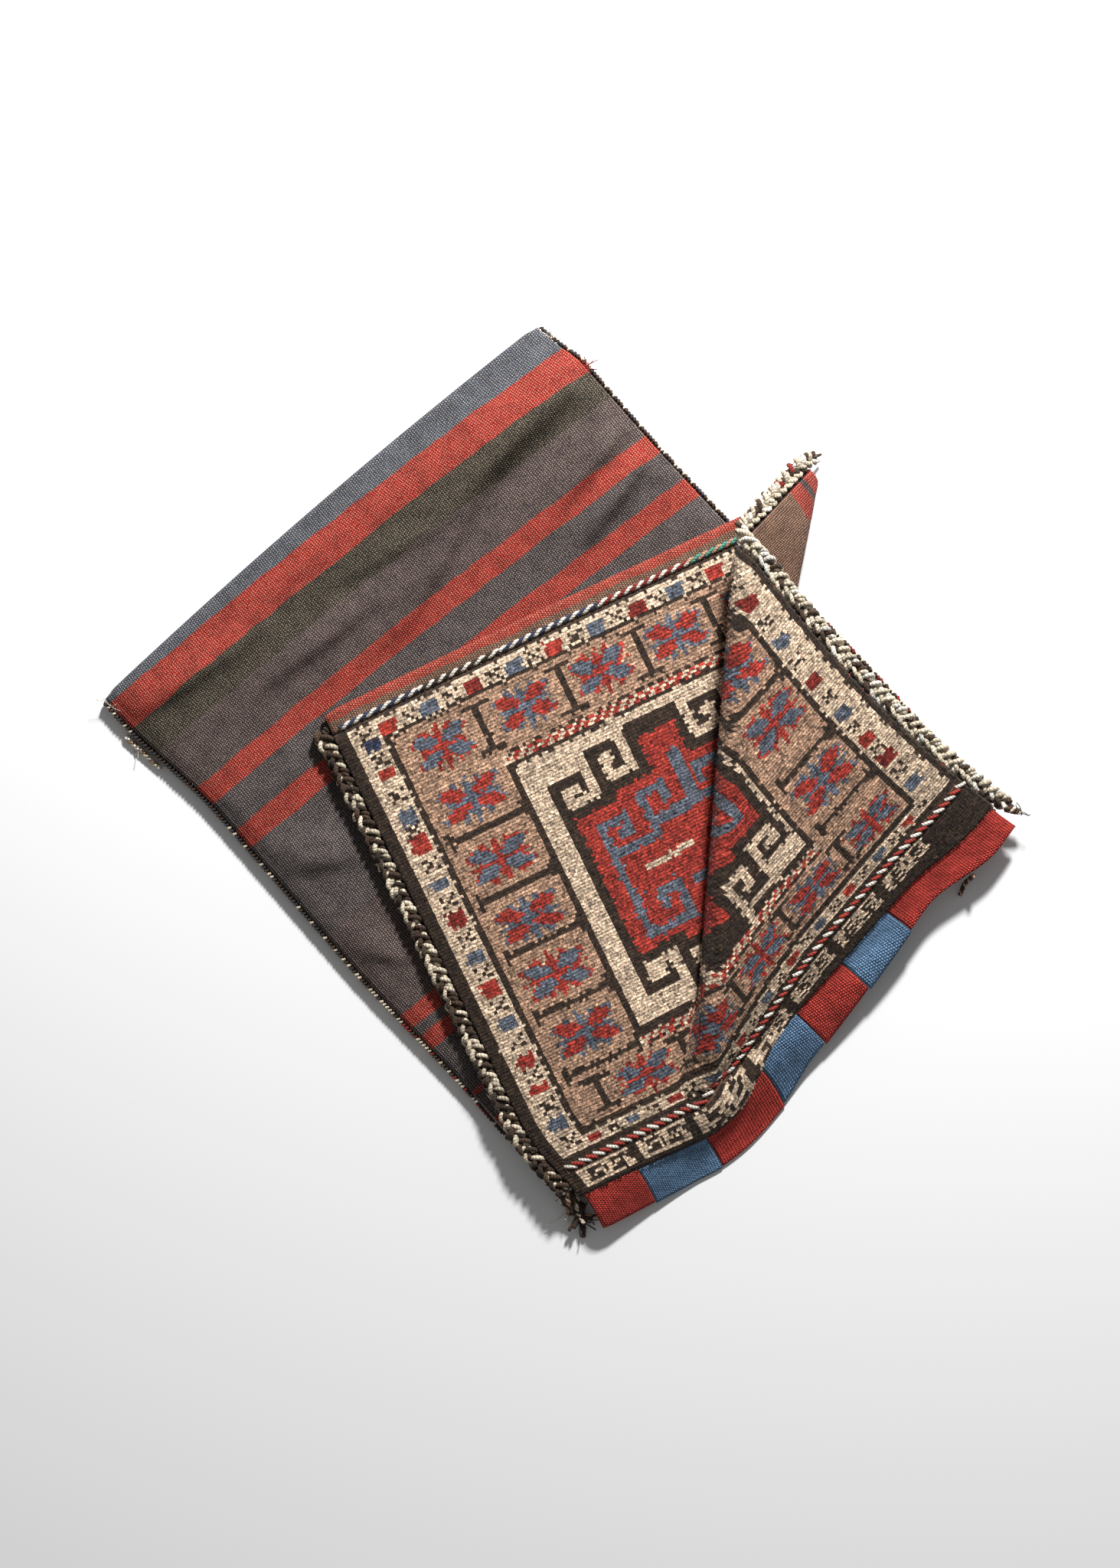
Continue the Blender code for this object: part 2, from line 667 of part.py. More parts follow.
def make_lower_overcast(name, at_right):
    """The overcast edge of the lower pouch's side, and past the mouth the selvedge of the bridge."""
    edge = np.array([WIDTH if at_right else 0.0])
    side = 1.0 if at_right else -1.0
    half_breadth = OVERCAST_BREADTH / 2
    path, sizes, outs = [], [], []
    for distance, _ in lower_back_bands():
        (x, y, top), (_, _, under) = (layer[0] for layer in lower_back_row(edge, distance))
        closed = 1.0 - float(ease((distance - LOWER_FACE_LENGTH) / SEAM_RUN_OUT + 1.0))
        bottom = mix(under, PILE_THICKNESS - face_thickness(distance), closed)
        height = (top - bottom) / 2
        path.append((x + side * (half_breadth + SEAM_CLEAR), y, (top + bottom) / 2))
        sizes.append((half_breadth, height))
        outs.append((side, 0.0, 0.0))
    return tube(name, path, sizes, outs, OVERCAST_SIDES, "brown_wool")


def yarn(name, points, radius, sides, dye, taper=0.6):
    """A short free end of cord or yarn through hand-set points."""
    points = np.array(points)
    knots = np.linspace(0.0, 1.0, len(points))
    fine = np.linspace(0.0, 1.0, 2 * len(points) + 1)
    path = np.stack([np.interp(fine, knots, points[:, axis]) for axis in range(3)], -1)
    path[1:-1] = (path[:-2] + 2 * path[1:-1] + path[2:]) / 4
    sizes = [(radius * mix(1.0, taper, share), radius * mix(1.0, taper, share)) for share in fine]
    outs = [(0.0, 0.0, 1.0)] * len(path)
    return tube(name, path, sizes, outs, sides, dye)


def beside_edge(p, q, out, along, height):
    """A point beside a seam or the mouth of the upper pouch, at a height over the floor.

    out is measured across the cloth away from its middle, along towards the mouth and past it.
    """
    at_p, at_q = np.array([p]), np.array([q])
    across, down = (axis[0] for axis in upper_axes(at_p, at_q)[:2])
    side = 1.0 if p > WIDTH / 2 else -1.0
    pile, wrong = (layer[0] for layer in upper_face_row(at_p, at_q))
    point = (pile + wrong) / 2 + across * side * out + down * along
    return (point[0], point[1], point[2] if height is None else height)


def make_corner_yarns():
    """The bunch of broken yarns at the mouth's left corner, and the cord end that sticks out of it."""
    out = BUNCH_RADIUS + SEAM_CLEAR
    low = BUNCH_RADIUS + TOUCH
    start = BACK_MOUTH + TOUCH * 6
    bunch = [
        beside_edge(0.0, start, out, 0.0, low + 0.009),
        beside_edge(0.0, start + BUNCH_LENGTH / 2, out, 0.0, low + 0.005),
        beside_edge(0.0, start + BUNCH_LENGTH, out, 0.0, low + 0.001),
    ]
    yarn("corner_yarn_bunch", bunch, BUNCH_RADIUS, 8, "brown_wool")
    end = start + BUNCH_LENGTH + TOUCH * 6
    floor = CORD_END_RADIUS + TOUCH
    cord = [
        beside_edge(0.0, end, out, 0.0, floor + 0.002),
        beside_edge(0.0, end, out + 0.002, CORD_END_LENGTH / 2, floor),
        beside_edge(0.0, end, out + 0.006, CORD_END_LENGTH, floor),
    ]
    yarn("corner_cord_end", cord, CORD_END_RADIUS, 6, "brown_wool", 0.8)


def make_closure_cord():
    """What is left of a cord of the mouth's closure, by the strip's outer edge."""
    clear = CORD_END_RADIUS + SEAM_CLEAR
    floor = CORD_END_RADIUS + TOUCH
    cord = [
        beside_edge(CLOSURE_CORD_AT, POUCH_LENGTH, 0.0, clear, None),
        beside_edge(CLOSURE_CORD_AT - 0.010, POUCH_LENGTH, 0.0, clear + 0.003, floor + 0.004),
        beside_edge(CLOSURE_CORD_AT - 0.020, POUCH_LENGTH, 0.0, clear + 0.010, floor),
    ]
    yarn("closure_cord", cord, CORD_END_RADIUS, 6, "brown_wool")


def make_corner_knot():
    """The knot that ends the right braid at the mouth."""
    out = KNOT_RADIUS + SEAM_CLEAR
    start = POUCH_LENGTH - BRAID_SHORT + TOUCH * 6
    knot = [
        beside_edge(WIDTH, start, out, 0.0, None),
        beside_edge(WIDTH, start + KNOT_LENGTH / 2, out + 0.001, 0.0, None),
        beside_edge(WIDTH, start + KNOT_LENGTH, out + 0.003, 0.0, None),
    ]
    yarn("mouth_corner_knot", knot, KNOT_RADIUS, 6, "brown_wool", 0.5)


def make_tip_tail():
    """The dark yarn end at the tip of the thrown-back corner."""
    tail = [free_end(share) for share in (1.06, 1.25, 1.5)]
    yarn("tip_tail", tail, TAIL_RADIUS, 6, "brown_wool")


def make_seam_thread():
    """The worn lump of mending thread on the lower pouch's left seam."""
    outside = SEAM_CLEAR + OVERCAST_BREADTH + TOUCH + THREAD_RADIUS
    low = THREAD_RADIUS + TOUCH
    path = []
    for share in (0.0, 0.5, 1.0):
        distance = THREAD_START + THREAD_LENGTH * share
        edge = lower_back_row(np.array([0.0]), distance)[0][0]
        path.append((edge[0] - outside, edge[1], low))
    yarn("seam_mending_thread", path, THREAD_RADIUS, 6, "ivory_wool", 0.7)


def build():
    clear_scene()
    make_strip()
    make_upper_braid("upper_left_braid", at_right=False)
    make_upper_braid("upper_right_braid", at_right=True)
    make_lower_overcast("lower_left_overcast", at_right=False)
    make_lower_overcast("lower_right_overcast", at_right=True)
    make_seam_thread()
    make_corner_yarns()
    make_closure_cord()
    make_corner_knot()
    make_tip_tail()


build()
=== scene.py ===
# %% [markdown]
# # A folded double saddle bag
#
# The real thing is one long strip of wool, woven on a simple loom and folded into two pouches
# that are joined by a bridge. Here it lies folded in half at that bridge, one pouch on the other.
# The pouch faces are knotted pile, the backs are striped flat weave, and a braided cord closes
# each side. The lesson builds every piece from the same few surface formulas as the solid model
# around which it stands.

# %% The frame
import math

import bpy
import numpy as np
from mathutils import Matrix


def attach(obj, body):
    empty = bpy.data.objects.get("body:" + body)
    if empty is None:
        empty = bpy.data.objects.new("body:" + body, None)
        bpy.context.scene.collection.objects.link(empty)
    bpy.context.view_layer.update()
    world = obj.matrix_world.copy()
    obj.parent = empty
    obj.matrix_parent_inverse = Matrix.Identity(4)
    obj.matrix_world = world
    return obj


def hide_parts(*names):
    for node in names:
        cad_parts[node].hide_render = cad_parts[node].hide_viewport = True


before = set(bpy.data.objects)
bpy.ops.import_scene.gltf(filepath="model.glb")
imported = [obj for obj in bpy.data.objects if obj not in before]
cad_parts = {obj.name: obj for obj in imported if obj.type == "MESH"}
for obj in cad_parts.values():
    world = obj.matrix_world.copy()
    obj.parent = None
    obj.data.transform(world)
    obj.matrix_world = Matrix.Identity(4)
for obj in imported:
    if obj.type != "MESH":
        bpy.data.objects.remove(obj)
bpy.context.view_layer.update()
print("solid pieces:", sorted(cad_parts))

# %% [markdown]
# ## The shape of the cloth
#
# Cloth could be dropped and draped by a simulation, but this bag has settled under its own weight
# into a shape that the solid model already states. So the same formulas give every point of the
# cloth here, from p, the distance from the left seam, and q, the distance from a pouch's bottom
# fold, in metres.

# %% Where the bag lies and how it folds
LAYOUT_CENTRE = np.array([0.0467, -0.0101, 0.0])

# The cloth
WIDTH = 0.506
POUCH_LENGTH = 0.513
PILE_THICKNESS = 0.006
KILIM_THICKNESS = 0.0026
POUCH_GAP = 0.005
SEAMED_GAP = 0.0015
SEAM_PINCH = 0.014
PLAIN_BAND = 0.016
MOUTH_STRIP = 0.036
PILE_STEP = 0.006
TOUCH = 0.0003
LAYER_REST = 0.0014

# The lower pouch and the bridge
LOWER_FOLD_Y = 0.3205
LOWER_FOLD_BOW = 0.0060
LOWER_FOLD_SKEW = 0.005
LOWER_FACE_LENGTH = 0.510
BRIDGE_FOLD_Y = -0.284
BRIDGE_FOLD_GAP = 0.004
BRIDGE_DROP_START = 0.012
BRIDGE_DROP_RUN = 0.042
LEFT_CORNER_FLARE = 0.011
LEFT_EDGE_TUCK = 0.006
RIGHT_CORNER_TUCK = 0.009
RIGHT_EDGE_SPREAD = 0.016
FOLD_END_ROUNDING = 0.020

# Soft ridges of the lower back: height, distance from the bottom fold, half-breadth, middle in X,
# reach in X
RIDGES = (
    (0.0075, 0.036, 0.020, 0.060, 0.160),
    (0.0045, 0.128, 0.028, 0.150, 0.080),
    (0.0030, 0.150, 0.024, -0.215, 0.050),
    (0.0030, 0.160, 0.016, 0.195, 0.050),
)

# The upper pouch: where it lies and how its pleat turns about the apex by the mouth
UPPER_CORNER_IN = 0.1256
UPPER_CORNER_UP = 0.1820
UPPER_TURN = math.radians(-15.1)
APEX_ACROSS = 0.145
APEX_DOWN = 0.443
VALLEY_SHORT = 0.022
VALLEY_TURN = math.radians(143.0)
RIDGE_TURN = math.radians(146.0)
ARCH_TURN = math.radians(13.0)
VALLEY_RADIUS = 0.0105
RIDGE_RADIUS = 0.0080
MOUTH_CORNER_PLAN = math.radians(-1.2)
RIDGE_DOWN_SEAM = 0.102
MOUTH_CORNER_PULL = 0.020
MOUTH_DIP = 0.016
FOLD_SIDE_SLACK = 0.010
MOUTH_SIDE_SPREAD = 0.012
MOUTH_DROOP_START = 0.014
MOUTH_DROOP_RUN = 0.050
TIP_DROOP_START = 0.016
TIP_DROOP_RUN = 0.075
BACK_TURN_START = 0.375
BACK_MOUTH = 0.470

# How the mouth strip fans out past its right corner: direction in the flat cloth, turn, in degrees
FAN = ((-148.0, 0.0), (-128.0, 0.0), (-99.0, 5.5), (-57.0, 14.3), (-45.0, 20.5))

# The grid on which the pleat is worked out: square roots of the reach from the apex, directions
PLEAT_ROOTS = np.linspace(0.10, 0.87, 56)
PLEAT_START = math.radians(212.0)
PLEAT_STEP = math.radians(0.1)
PLEAT_COLUMNS = 3602

# The cords that close the sides
BRAID_BREADTH = 0.0140
BRAID_START = 0.008
BRAID_SHORT = 0.022
BRAID_FREE_END = 0.022
OVERCAST_BREADTH = 0.0045
SEAM_CLEAR = 0.0010
SEAM_TIP_CLEAR = 0.0030
SEAM_TIP_RUN = 0.040
SEAM_RUN_OUT = 0.030

# Loose yarns and cord ends
CORD_END_RADIUS = 0.0026
KNOT_RADIUS = 0.0052
BUNCH_RADIUS = 0.0085
TAIL_RADIUS = 0.0014
THREAD_RADIUS = 0.0030
BUNCH_LENGTH = 0.026
CORD_END_LENGTH = 0.016
CLOSURE_CORD_AT = 0.447
KNOT_LENGTH = 0.014
THREAD_START = 0.034
THREAD_LENGTH = 0.042

# %% Small helpers
def ease(x):
    """0 before 0, 1 after 1, smooth between."""
    x = np.clip(x, 0.0, 1.0)
    return x * x * (3.0 - 2.0 * x)


def mix(a, b, share):
    return a + (b - a) * share


def points_at(x, y, z):
    """Points from coordinates, each of them a number or one value for every column."""
    return np.stack(np.broadcast_arrays(x, y, z), -1)


def unit(vectors):
    return vectors / np.maximum(np.linalg.norm(vectors, axis=-1, keepdims=True), 1e-12)


def travelled(path):
    """How far along a path each of its points lies."""
    return np.concatenate([[0.0], np.cumsum(np.linalg.norm(np.diff(path, axis=0), axis=1))])


def softened(path):
    """The inner points of a path, each pulled towards its neighbours."""
    return (path[:-2] + 2 * path[1:-1] + path[2:]) / 4


def gap_across(p, full_gap):
    """The pouch's inner gap at a distance p from the left seam: it closes towards both seams."""
    edge = np.minimum(p, WIDTH - p)
    return mix(SEAMED_GAP, full_gap, ease(edge / SEAM_PINCH))


def face_thickness(q):
    """The face's thickness at q from the bottom fold: the pile stands between flat bands."""
    pile_end = POUCH_LENGTH - MOUTH_STRIP
    rise = ease((q - PLAIN_BAND) / PILE_STEP)
    fall = ease((q - pile_end) / PILE_STEP)
    return mix(KILIM_THICKNESS, PILE_THICKNESS, rise * (1.0 - fall))


# The lower pouch


def lower_plan(p, share):
    """X and Y of the lower pouch's cloth: share 0 on the bottom fold and 1 on the bridge fold."""
    x = p - WIDTH / 2
    fold = LOWER_FOLD_Y + LOWER_FOLD_BOW * (1.0 - (2.0 * x / WIDTH) ** 2) - LOWER_FOLD_SKEW * x
    y = mix(fold, BRIDGE_FOLD_Y, share)
    rounding = FOLD_END_ROUNDING * ease((share - 0.93) / 0.07)
    left = LEFT_EDGE_TUCK * ease(-y / 0.16) - LEFT_CORNER_FLARE * ease((y - 0.18) / 0.13) + rounding
    right = mix(0.0, RIGHT_EDGE_SPREAD, ease((0.22 - y) / 0.45)) - RIGHT_CORNER_TUCK * ease(
        (y - 0.27) / 0.05
    )
    return x + mix(left, right - rounding * 0.2, p / WIDTH), y


def lower_gap(p, distance):
    """The lower pouch's inner height: the flat gap and the soft ridges of its back."""
    x = p - WIDTH / 2
    height = POUCH_GAP
    for lift, down, breadth, middle, reach in RIDGES:
        height = height + lift * np.exp(
            -(((distance - down) / breadth) ** 2) - ((x - middle) / reach) ** 2
        )
    return gap_across(p, height)


def lower_length():
    return LOWER_FOLD_Y - BRIDGE_FOLD_Y


def lower_face_row(p, distance):
    """The pile face that lies on the floor, pile down: its pile side and its wrong side."""
    x, y = lower_plan(p, distance / lower_length())
    return (
        points_at(x, y, PILE_THICKNESS - face_thickness(distance)),
        points_at(x, y, PILE_THICKNESS),
    )


def lower_back_row(p, distance):
    """The striped back, and past the mouth the bridge, which comes down to the floor."""
    x, y = lower_plan(p, distance / lower_length())
    drop = ease((distance - LOWER_FACE_LENGTH - BRIDGE_DROP_START) / BRIDGE_DROP_RUN)
    under = mix(PILE_THICKNESS + lower_gap(p, distance), TOUCH, drop)
    return points_at(x, y, under + KILIM_THICKNESS), points_at(x, y, under)


def fold_sides(centre, reach, rise, inner_radius, turn):
    """Both sides of a fold at one turn, from -1 under its centre line to 1 over it.

    reach points away from the folded cloth and rise from its lower layer to its upper one.
    """
    angle = turn * math.pi / 2
    swing = reach * math.cos(angle) + rise * math.sin(angle)
    near = centre + swing * inner_radius[..., None]
    return near + swing * KILIM_THICKNESS, near


def lower_fold_row(p, turn):
    """The lower pouch's bottom fold, from its face to its back."""
    x, y = lower_plan(p, 0.0)
    gap = lower_gap(p, 0.0)
    centre = points_at(x, y, PILE_THICKNESS + gap / 2)
    return fold_sides(centre, np.array([0.0, 1.0, 0.0]), np.array([0.0, 0.0, 1.0]), gap / 2, turn)


def bridge_fold_row(p, turn):
    """The fold that lays the upper pouch on the lower one. Here the striped side is the inside."""
    x, y = lower_plan(p, 1.0)
    radius = BRIDGE_FOLD_GAP / 2
    centre = points_at(x, y, TOUCH + KILIM_THICKNESS + radius)
    wrong, striped = fold_sides(
        centre, np.array([0.0, -1.0, 0.0]), np.array([0.0, 0.0, 1.0]), radius + 0.0 * p, turn
    )
    return striped, wrong


# The upper pouch


def turned(angle):
    return np.array([math.cos(angle), math.sin(angle)])


def cloth_angle(p, q):
    """The direction, in the unpleated cloth, of a point of the upper pouch, from the apex."""
    across, down = p - APEX_ACROSS, q - APEX_DOWN
    angle = UPPER_TURN - np.arctan2(down, across)
    cut = math.radians(-148.0)
    return np.where(angle < cut, angle + 2 * math.pi, angle)


def pleat_grid():
    """Where the cloth about the apex lies: its direction seen from above and its lift, by reach
    from the apex and by direction in the unpleated cloth.

    Left of the valley nothing moves. At the valley the cloth turns over in an arc, at the ridge it
    turns back, and it arches on to the mouth's right corner. Past that corner the mouth strip fans
    out again. Near the apex both arcs run into each other, so the pleat ends in a soft wave there.
    """
    valley = float(cloth_angle(WIDTH - VALLEY_SHORT, 0.0))
    ridge = float(cloth_angle(WIDTH, RIDGE_DOWN_SEAM))
    corner = float(cloth_angle(WIDTH, POUCH_LENGTH))
    cloth = PLEAT_START - PLEAT_STEP * np.arange(PLEAT_COLUMNS)
    reach = (PLEAT_ROOTS**2)[:, None]
    widest = math.radians(60.0)
    valley_half = np.minimum(VALLEY_RADIUS * VALLEY_TURN / 2 / reach, widest)
    ridge_half = np.minimum(RIDGE_RADIUS * RIDGE_TURN / 2 / reach, widest)
    foot_half = math.radians(4.0)
    bends = (
        (valley, VALLEY_TURN, valley_half),
        (ridge, -RIDGE_TURN, ridge_half),
        ((ridge + corner) / 2, -ARCH_TURN, (ridge - corner) / 2),
        (corner + foot_half, RIDGE_TURN + ARCH_TURN - VALLEY_TURN, foot_half),
    )
    heading = 0.0
    for at, turn, half in bends:
        heading = heading + turn * np.clip((at + half - cloth) / (2 * half), 0.0, 1.0)
    plan = PLEAT_START - np.cumsum(np.cos(heading), axis=1) * PLEAT_STEP
    lift = np.cumsum(np.sin(heading), axis=1) * PLEAT_STEP
    eased_from = np.maximum(ridge - ridge_half, (ridge + corner) / 2)
    share = np.clip((eased_from - cloth) / (eased_from - corner), 0.0, 1.0)
    last = int((PLEAT_START - corner) / PLEAT_STEP)
    plan = plan + share * (MOUTH_CORNER_PLAN - plan[:, last : last + 1])
    lift = lift - share * lift[:, last : last + 1]
    fan_cloth = [math.radians(cloth_way) for cloth_way, _ in FAN] + [corner]
    fan_plan = [math.radians(cloth_way + turn) for cloth_way, turn in FAN] + [MOUTH_CORNER_PLAN]
    past = cloth < corner
    plan = np.where(past, np.interp(cloth, fan_cloth, fan_plan), plan)
    return plan, np.where(past, 0.0, lift)


def pleat_direction(angle, reach):
    """The plan direction and lift of the cloth at a cloth direction and a reach from the apex."""
    row = (np.sqrt(reach) - PLEAT_ROOTS[0]) / (PLEAT_ROOTS[1] - PLEAT_ROOTS[0])
    column = (PLEAT_START - angle) / PLEAT_STEP - 1.0
    row = np.clip(row, 0.0, len(PLEAT_ROOTS) - 1.001)
    column = np.clip(column, 0.0, PLEAT_COLUMNS - 1.001)
    i, j = row.astype(int), column.astype(int)
    found = []
    for grid in PLEAT_GRID:
        near = mix(grid[i, j], grid[i, j + 1], column - j)
        far = mix(grid[i + 1, j], grid[i + 1, j + 1], column - j)
        found.append(mix(near, far, row - i))
    return found


def upper_rest_height(x, y):
    """The height of the upper pouch's middle where it lies flat: level over the lower pouch, and
    down to the floor past the bridge fold and past the lower pouch's right seam."""
    on_pouch = (
        PILE_THICKNESS + POUCH_GAP + KILIM_THICKNESS + LAYER_REST + KILIM_THICKNESS + POUCH_GAP / 2
    )
    strip_on_floor = TOUCH - POUCH_GAP / 2
    tip_on_floor = TOUCH + KILIM_THICKNESS + POUCH_GAP / 2
    right_edge = WIDTH / 2 + TIP_DROOP_START + mix(0.0, RIGHT_EDGE_SPREAD, ease((0.22 - y) / 0.45))
    droop = ease((BRIDGE_FOLD_Y - MOUTH_DROOP_START - y) / MOUTH_DROOP_RUN)
    tip = ease((x - right_edge) / TIP_DROOP_RUN)
    height = mix(on_pouch, strip_on_floor, droop)
    return mix(height, np.minimum(height, tip_on_floor), tip)


def upper_middle(p, q):
    """The middle surface of the upper pouch, at p from its left seam and q from its bottom fold.

    Between its corners the mouth is drawn in a little.
    """
    dip = MOUTH_DIP * ease((p - 0.12) / 0.12) * ease((0.48 - p) / 0.08)
    q = q - dip * ease((q - 0.40) / 0.113)
    across, down = turned(UPPER_TURN), turned(UPPER_TURN - math.pi / 2)
    corner = np.array([UPPER_CORNER_IN - WIDTH / 2, UPPER_CORNER_UP])
    apex = corner + APEX_ACROSS * across + APEX_DOWN * down
    spread = mix(-FOLD_SIDE_SLACK, MOUTH_SIDE_SPREAD, q / POUCH_LENGTH) * p / WIDTH
    reach = np.hypot(p + spread - APEX_ACROSS, q - APEX_DOWN)
    plan, lift = pleat_direction(cloth_angle(p, q), reach)
    level = reach * np.cos(lift)
    pull = MOUTH_CORNER_PULL * ease((q - 0.40) / 0.10) * ease(1.0 - p / 0.16)
    x = apex[0] + level * np.cos(plan) + pull * across[0]
    y = apex[1] + level * np.sin(plan) + pull * across[1]
    return points_at(x, y, upper_rest_height(x, y) + reach * np.sin(lift))


def upper_axes(p, q):
    """Unit directions across, down towards the mouth, and out through the face, at a point."""
    step = 0.002
    across = unit(upper_middle(p + step, q) - upper_middle(p - step, q))
    down = unit(upper_middle(p, q + step) - upper_middle(p, q - step))
    outward = unit(np.cross(down, across))
    return across, down, outward


def upper_face_row(p, q):
    """The pile face of the upper pouch: its pile side and its wrong side."""
    near = upper_middle(p, q)
    outward = upper_axes(p, q)[2]
    wrong = near + outward * gap_across(p, POUCH_GAP)[..., None] / 2
    return wrong + outward * face_thickness(q), wrong


def upper_back_row(p, q):
    """The back of the upper pouch; near the mouth it turns in to meet the bridge fold."""
    outward = upper_axes(p, q)[2]
    wrong = upper_middle(p, q) - outward * gap_across(p, POUCH_GAP)[..., None] / 2
    striped = wrong - outward * KILIM_THICKNESS
    x, y = lower_plan(p, 1.0)
    fold_top = TOUCH + KILIM_THICKNESS + BRIDGE_FOLD_GAP
    share = ease((q - BACK_TURN_START) / (BACK_MOUTH - BACK_TURN_START))
    return (
        mix(striped, points_at(x, y, fold_top), share),
        mix(wrong, points_at(x, y, fold_top + KILIM_THICKNESS), share),
    )


def upper_fold_row(p, turn):
    """The upper pouch's bottom fold, from its back to its face."""
    down, outward = upper_axes(p, 0.0)[1:]
    return fold_sides(upper_middle(p, 0.0), -down, outward, gap_across(p, POUCH_GAP) / 2, turn)


PLEAT_GRID = pleat_grid()

# %% [markdown]
# ## Dyes
#
# Every colour is a wool dye: madder reds, indigo blues, walnut browns and undyed camel and ivory.
# They are written as screen colours and turned to linear light once, so that each renders as it
# is written.

# %% The dyes
DYES = {
    "pile_red": "A8382C",
    "deep_red": "862A22",
    "slate": "626874",
    "navy": "343B52",
    "ivory": "DCC1A5",
    "camel": "B48F75",
    "dark": "3A2B20",
    "kilim_red": "8C261E",
    "fold_red": "8E3127",
    "blue_grey": "474D56",
    "aubergine": "423839",
    "charcoal": "3F3A3D",
    "olive": "302D26",
    "brown": "63483A",
    "strip_red": "A63830",
    "strip_blue": "5D7A98",
    "cord_ivory": "E2D2B8",
    "cord_brown": "4C3829",
    "turquoise": "4C9484",
    "white": "E6DFD2",
}


def linear(code):
    screen = np.array([int(code[i : i + 2], 16) for i in (0, 2, 4)]) / 255
    return np.where(screen <= 0.04045, screen / 12.92, ((screen + 0.055) / 1.055) ** 2.4)


INK = {name: linear(code) for name, code in DYES.items()}
ORDER = list(DYES)
PALETTE = np.array([INK[name] for name in ORDER])
print(len(ORDER), "dyes")

# %% [markdown]
# ## Building meshes
#
# A piece of cloth is two grids of points, its right side and its wrong side, joined along the
# rim. The colour of each face is kept as a colour attribute, which a material can read, and the
# place on the cloth in metres is kept as a UV map, from which the materials work out their weave.

# %% Mesh helpers
rng = np.random.default_rng(7)
ON_FLOOR = 0.0002


def new_piece(name, points, faces, colours=None, uv=None, finish=None):
    """A mesh object, with one colour per face or per face corner and one UV per point."""
    placed = np.asarray(points) - LAYOUT_CENTRE
    placed[:, 2] = np.maximum(placed[:, 2], ON_FLOOR)
    mesh = bpy.data.meshes.new(name)
    mesh.from_pydata(placed.tolist(), [], faces)
    corners = np.zeros(len(mesh.loops), int)
    mesh.loops.foreach_get("vertex_index", corners)
    if colours is not None:
        layer = mesh.color_attributes.new("dye", "FLOAT_COLOR", "CORNER")
        values = np.ones((len(corners), 4))
        if len(colours) != len(corners):
            colours = np.repeat(np.asarray(colours), [len(face) for face in faces], axis=0)
        values[:, :3] = colours
        layer.data.foreach_set("color", values.ravel())
    if uv is not None:
        layer = mesh.uv_layers.new(name="cloth")
        layer.data.foreach_set("uv", np.asarray(uv)[corners].ravel())
    mesh.shade_smooth()
    mesh.validate()
    piece = bpy.data.objects.new(name, mesh)
    bpy.context.scene.collection.objects.link(piece)
    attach(piece, "root")
    if finish:
        mesh.materials.append(finish)
    return piece


def grid_faces(rows, columns, first=0, flip=False):
    i, j = np.meshgrid(np.arange(rows - 1), np.arange(columns - 1), indexing="ij")
    a = (first + i * columns + j).ravel()
    quads = np.stack([a, a + columns, a + columns + 1, a + 1], -1)
    return quads[:, ::-1] if flip else quads


def rim_faces(rows, columns, below):
    """The faces that join the rims of two grids, the second of which starts at index below."""
    top = np.arange(columns - 1)
    side = np.arange(rows - 1) * columns
    last = (rows - 1) * columns
    right = side + columns - 1
    return np.concatenate(
        [
            np.stack([top, top + 1, below + top + 1, below + top], -1),
            np.stack([last + top + 1, last + top, below + last + top, below + last + top + 1], -1),
            np.stack([side + columns, side, below + side, below + side + columns], -1),
            np.stack([right, right + columns, below + right + columns, below + right], -1),
        ]
    )


def closed_faces(rows, columns):
    """The faces of a closed sheet, whose wrong side's points follow those of its right side."""
    below = rows * columns
    sides = [grid_faces(rows, columns), grid_faces(rows, columns, below, flip=True)]
    return np.concatenate(sides + [rim_faces(rows, columns, below)])


def sheet_piece(name, outer, inner, uv, finish):
    """A closed sheet of cloth from the grids of its two sides."""
    points = np.concatenate([outer.reshape(-1, 3), inner.reshape(-1, 3)])
    faces = closed_faces(*outer.shape[:2])
    flat_uv = np.concatenate([uv.reshape(-1, 2)] * 2)
    return new_piece(name, points, faces.tolist(), None, flat_uv, finish)


print("mesh helpers ready")

# %% [markdown]
# ## Finishes from expressions
#
# A material is a small sum over the surface: dye times fibre times slow drift, and for the weaves
# and cords times a painted shade that follows their relief. Written as Blender nodes one by one it
# is hard to read, so a socket is wrapped in a class on which + and * add Math nodes.

# %% Shader expressions


class Value:
    """A number that varies over a surface: one output of a material's nodes."""

    def __init__(self, maker, socket):
        self.maker, self.socket = maker, socket

    def __add__(self, other):
        return self.maker.maths("ADD", self, other)

    def __sub__(self, other):
        return self.maker.maths("SUBTRACT", self, other)

    def __rsub__(self, other):
        return self.maker.maths("SUBTRACT", other, self)

    def __mul__(self, other):
        return self.maker.maths("MULTIPLY", self, other)

    def __truediv__(self, other):
        return self.maker.maths("DIVIDE", self, other)

    def __gt__(self, other):
        return self.maker.maths("GREATER_THAN", self, other)

    __radd__ = __add__
    __rmul__ = __mul__


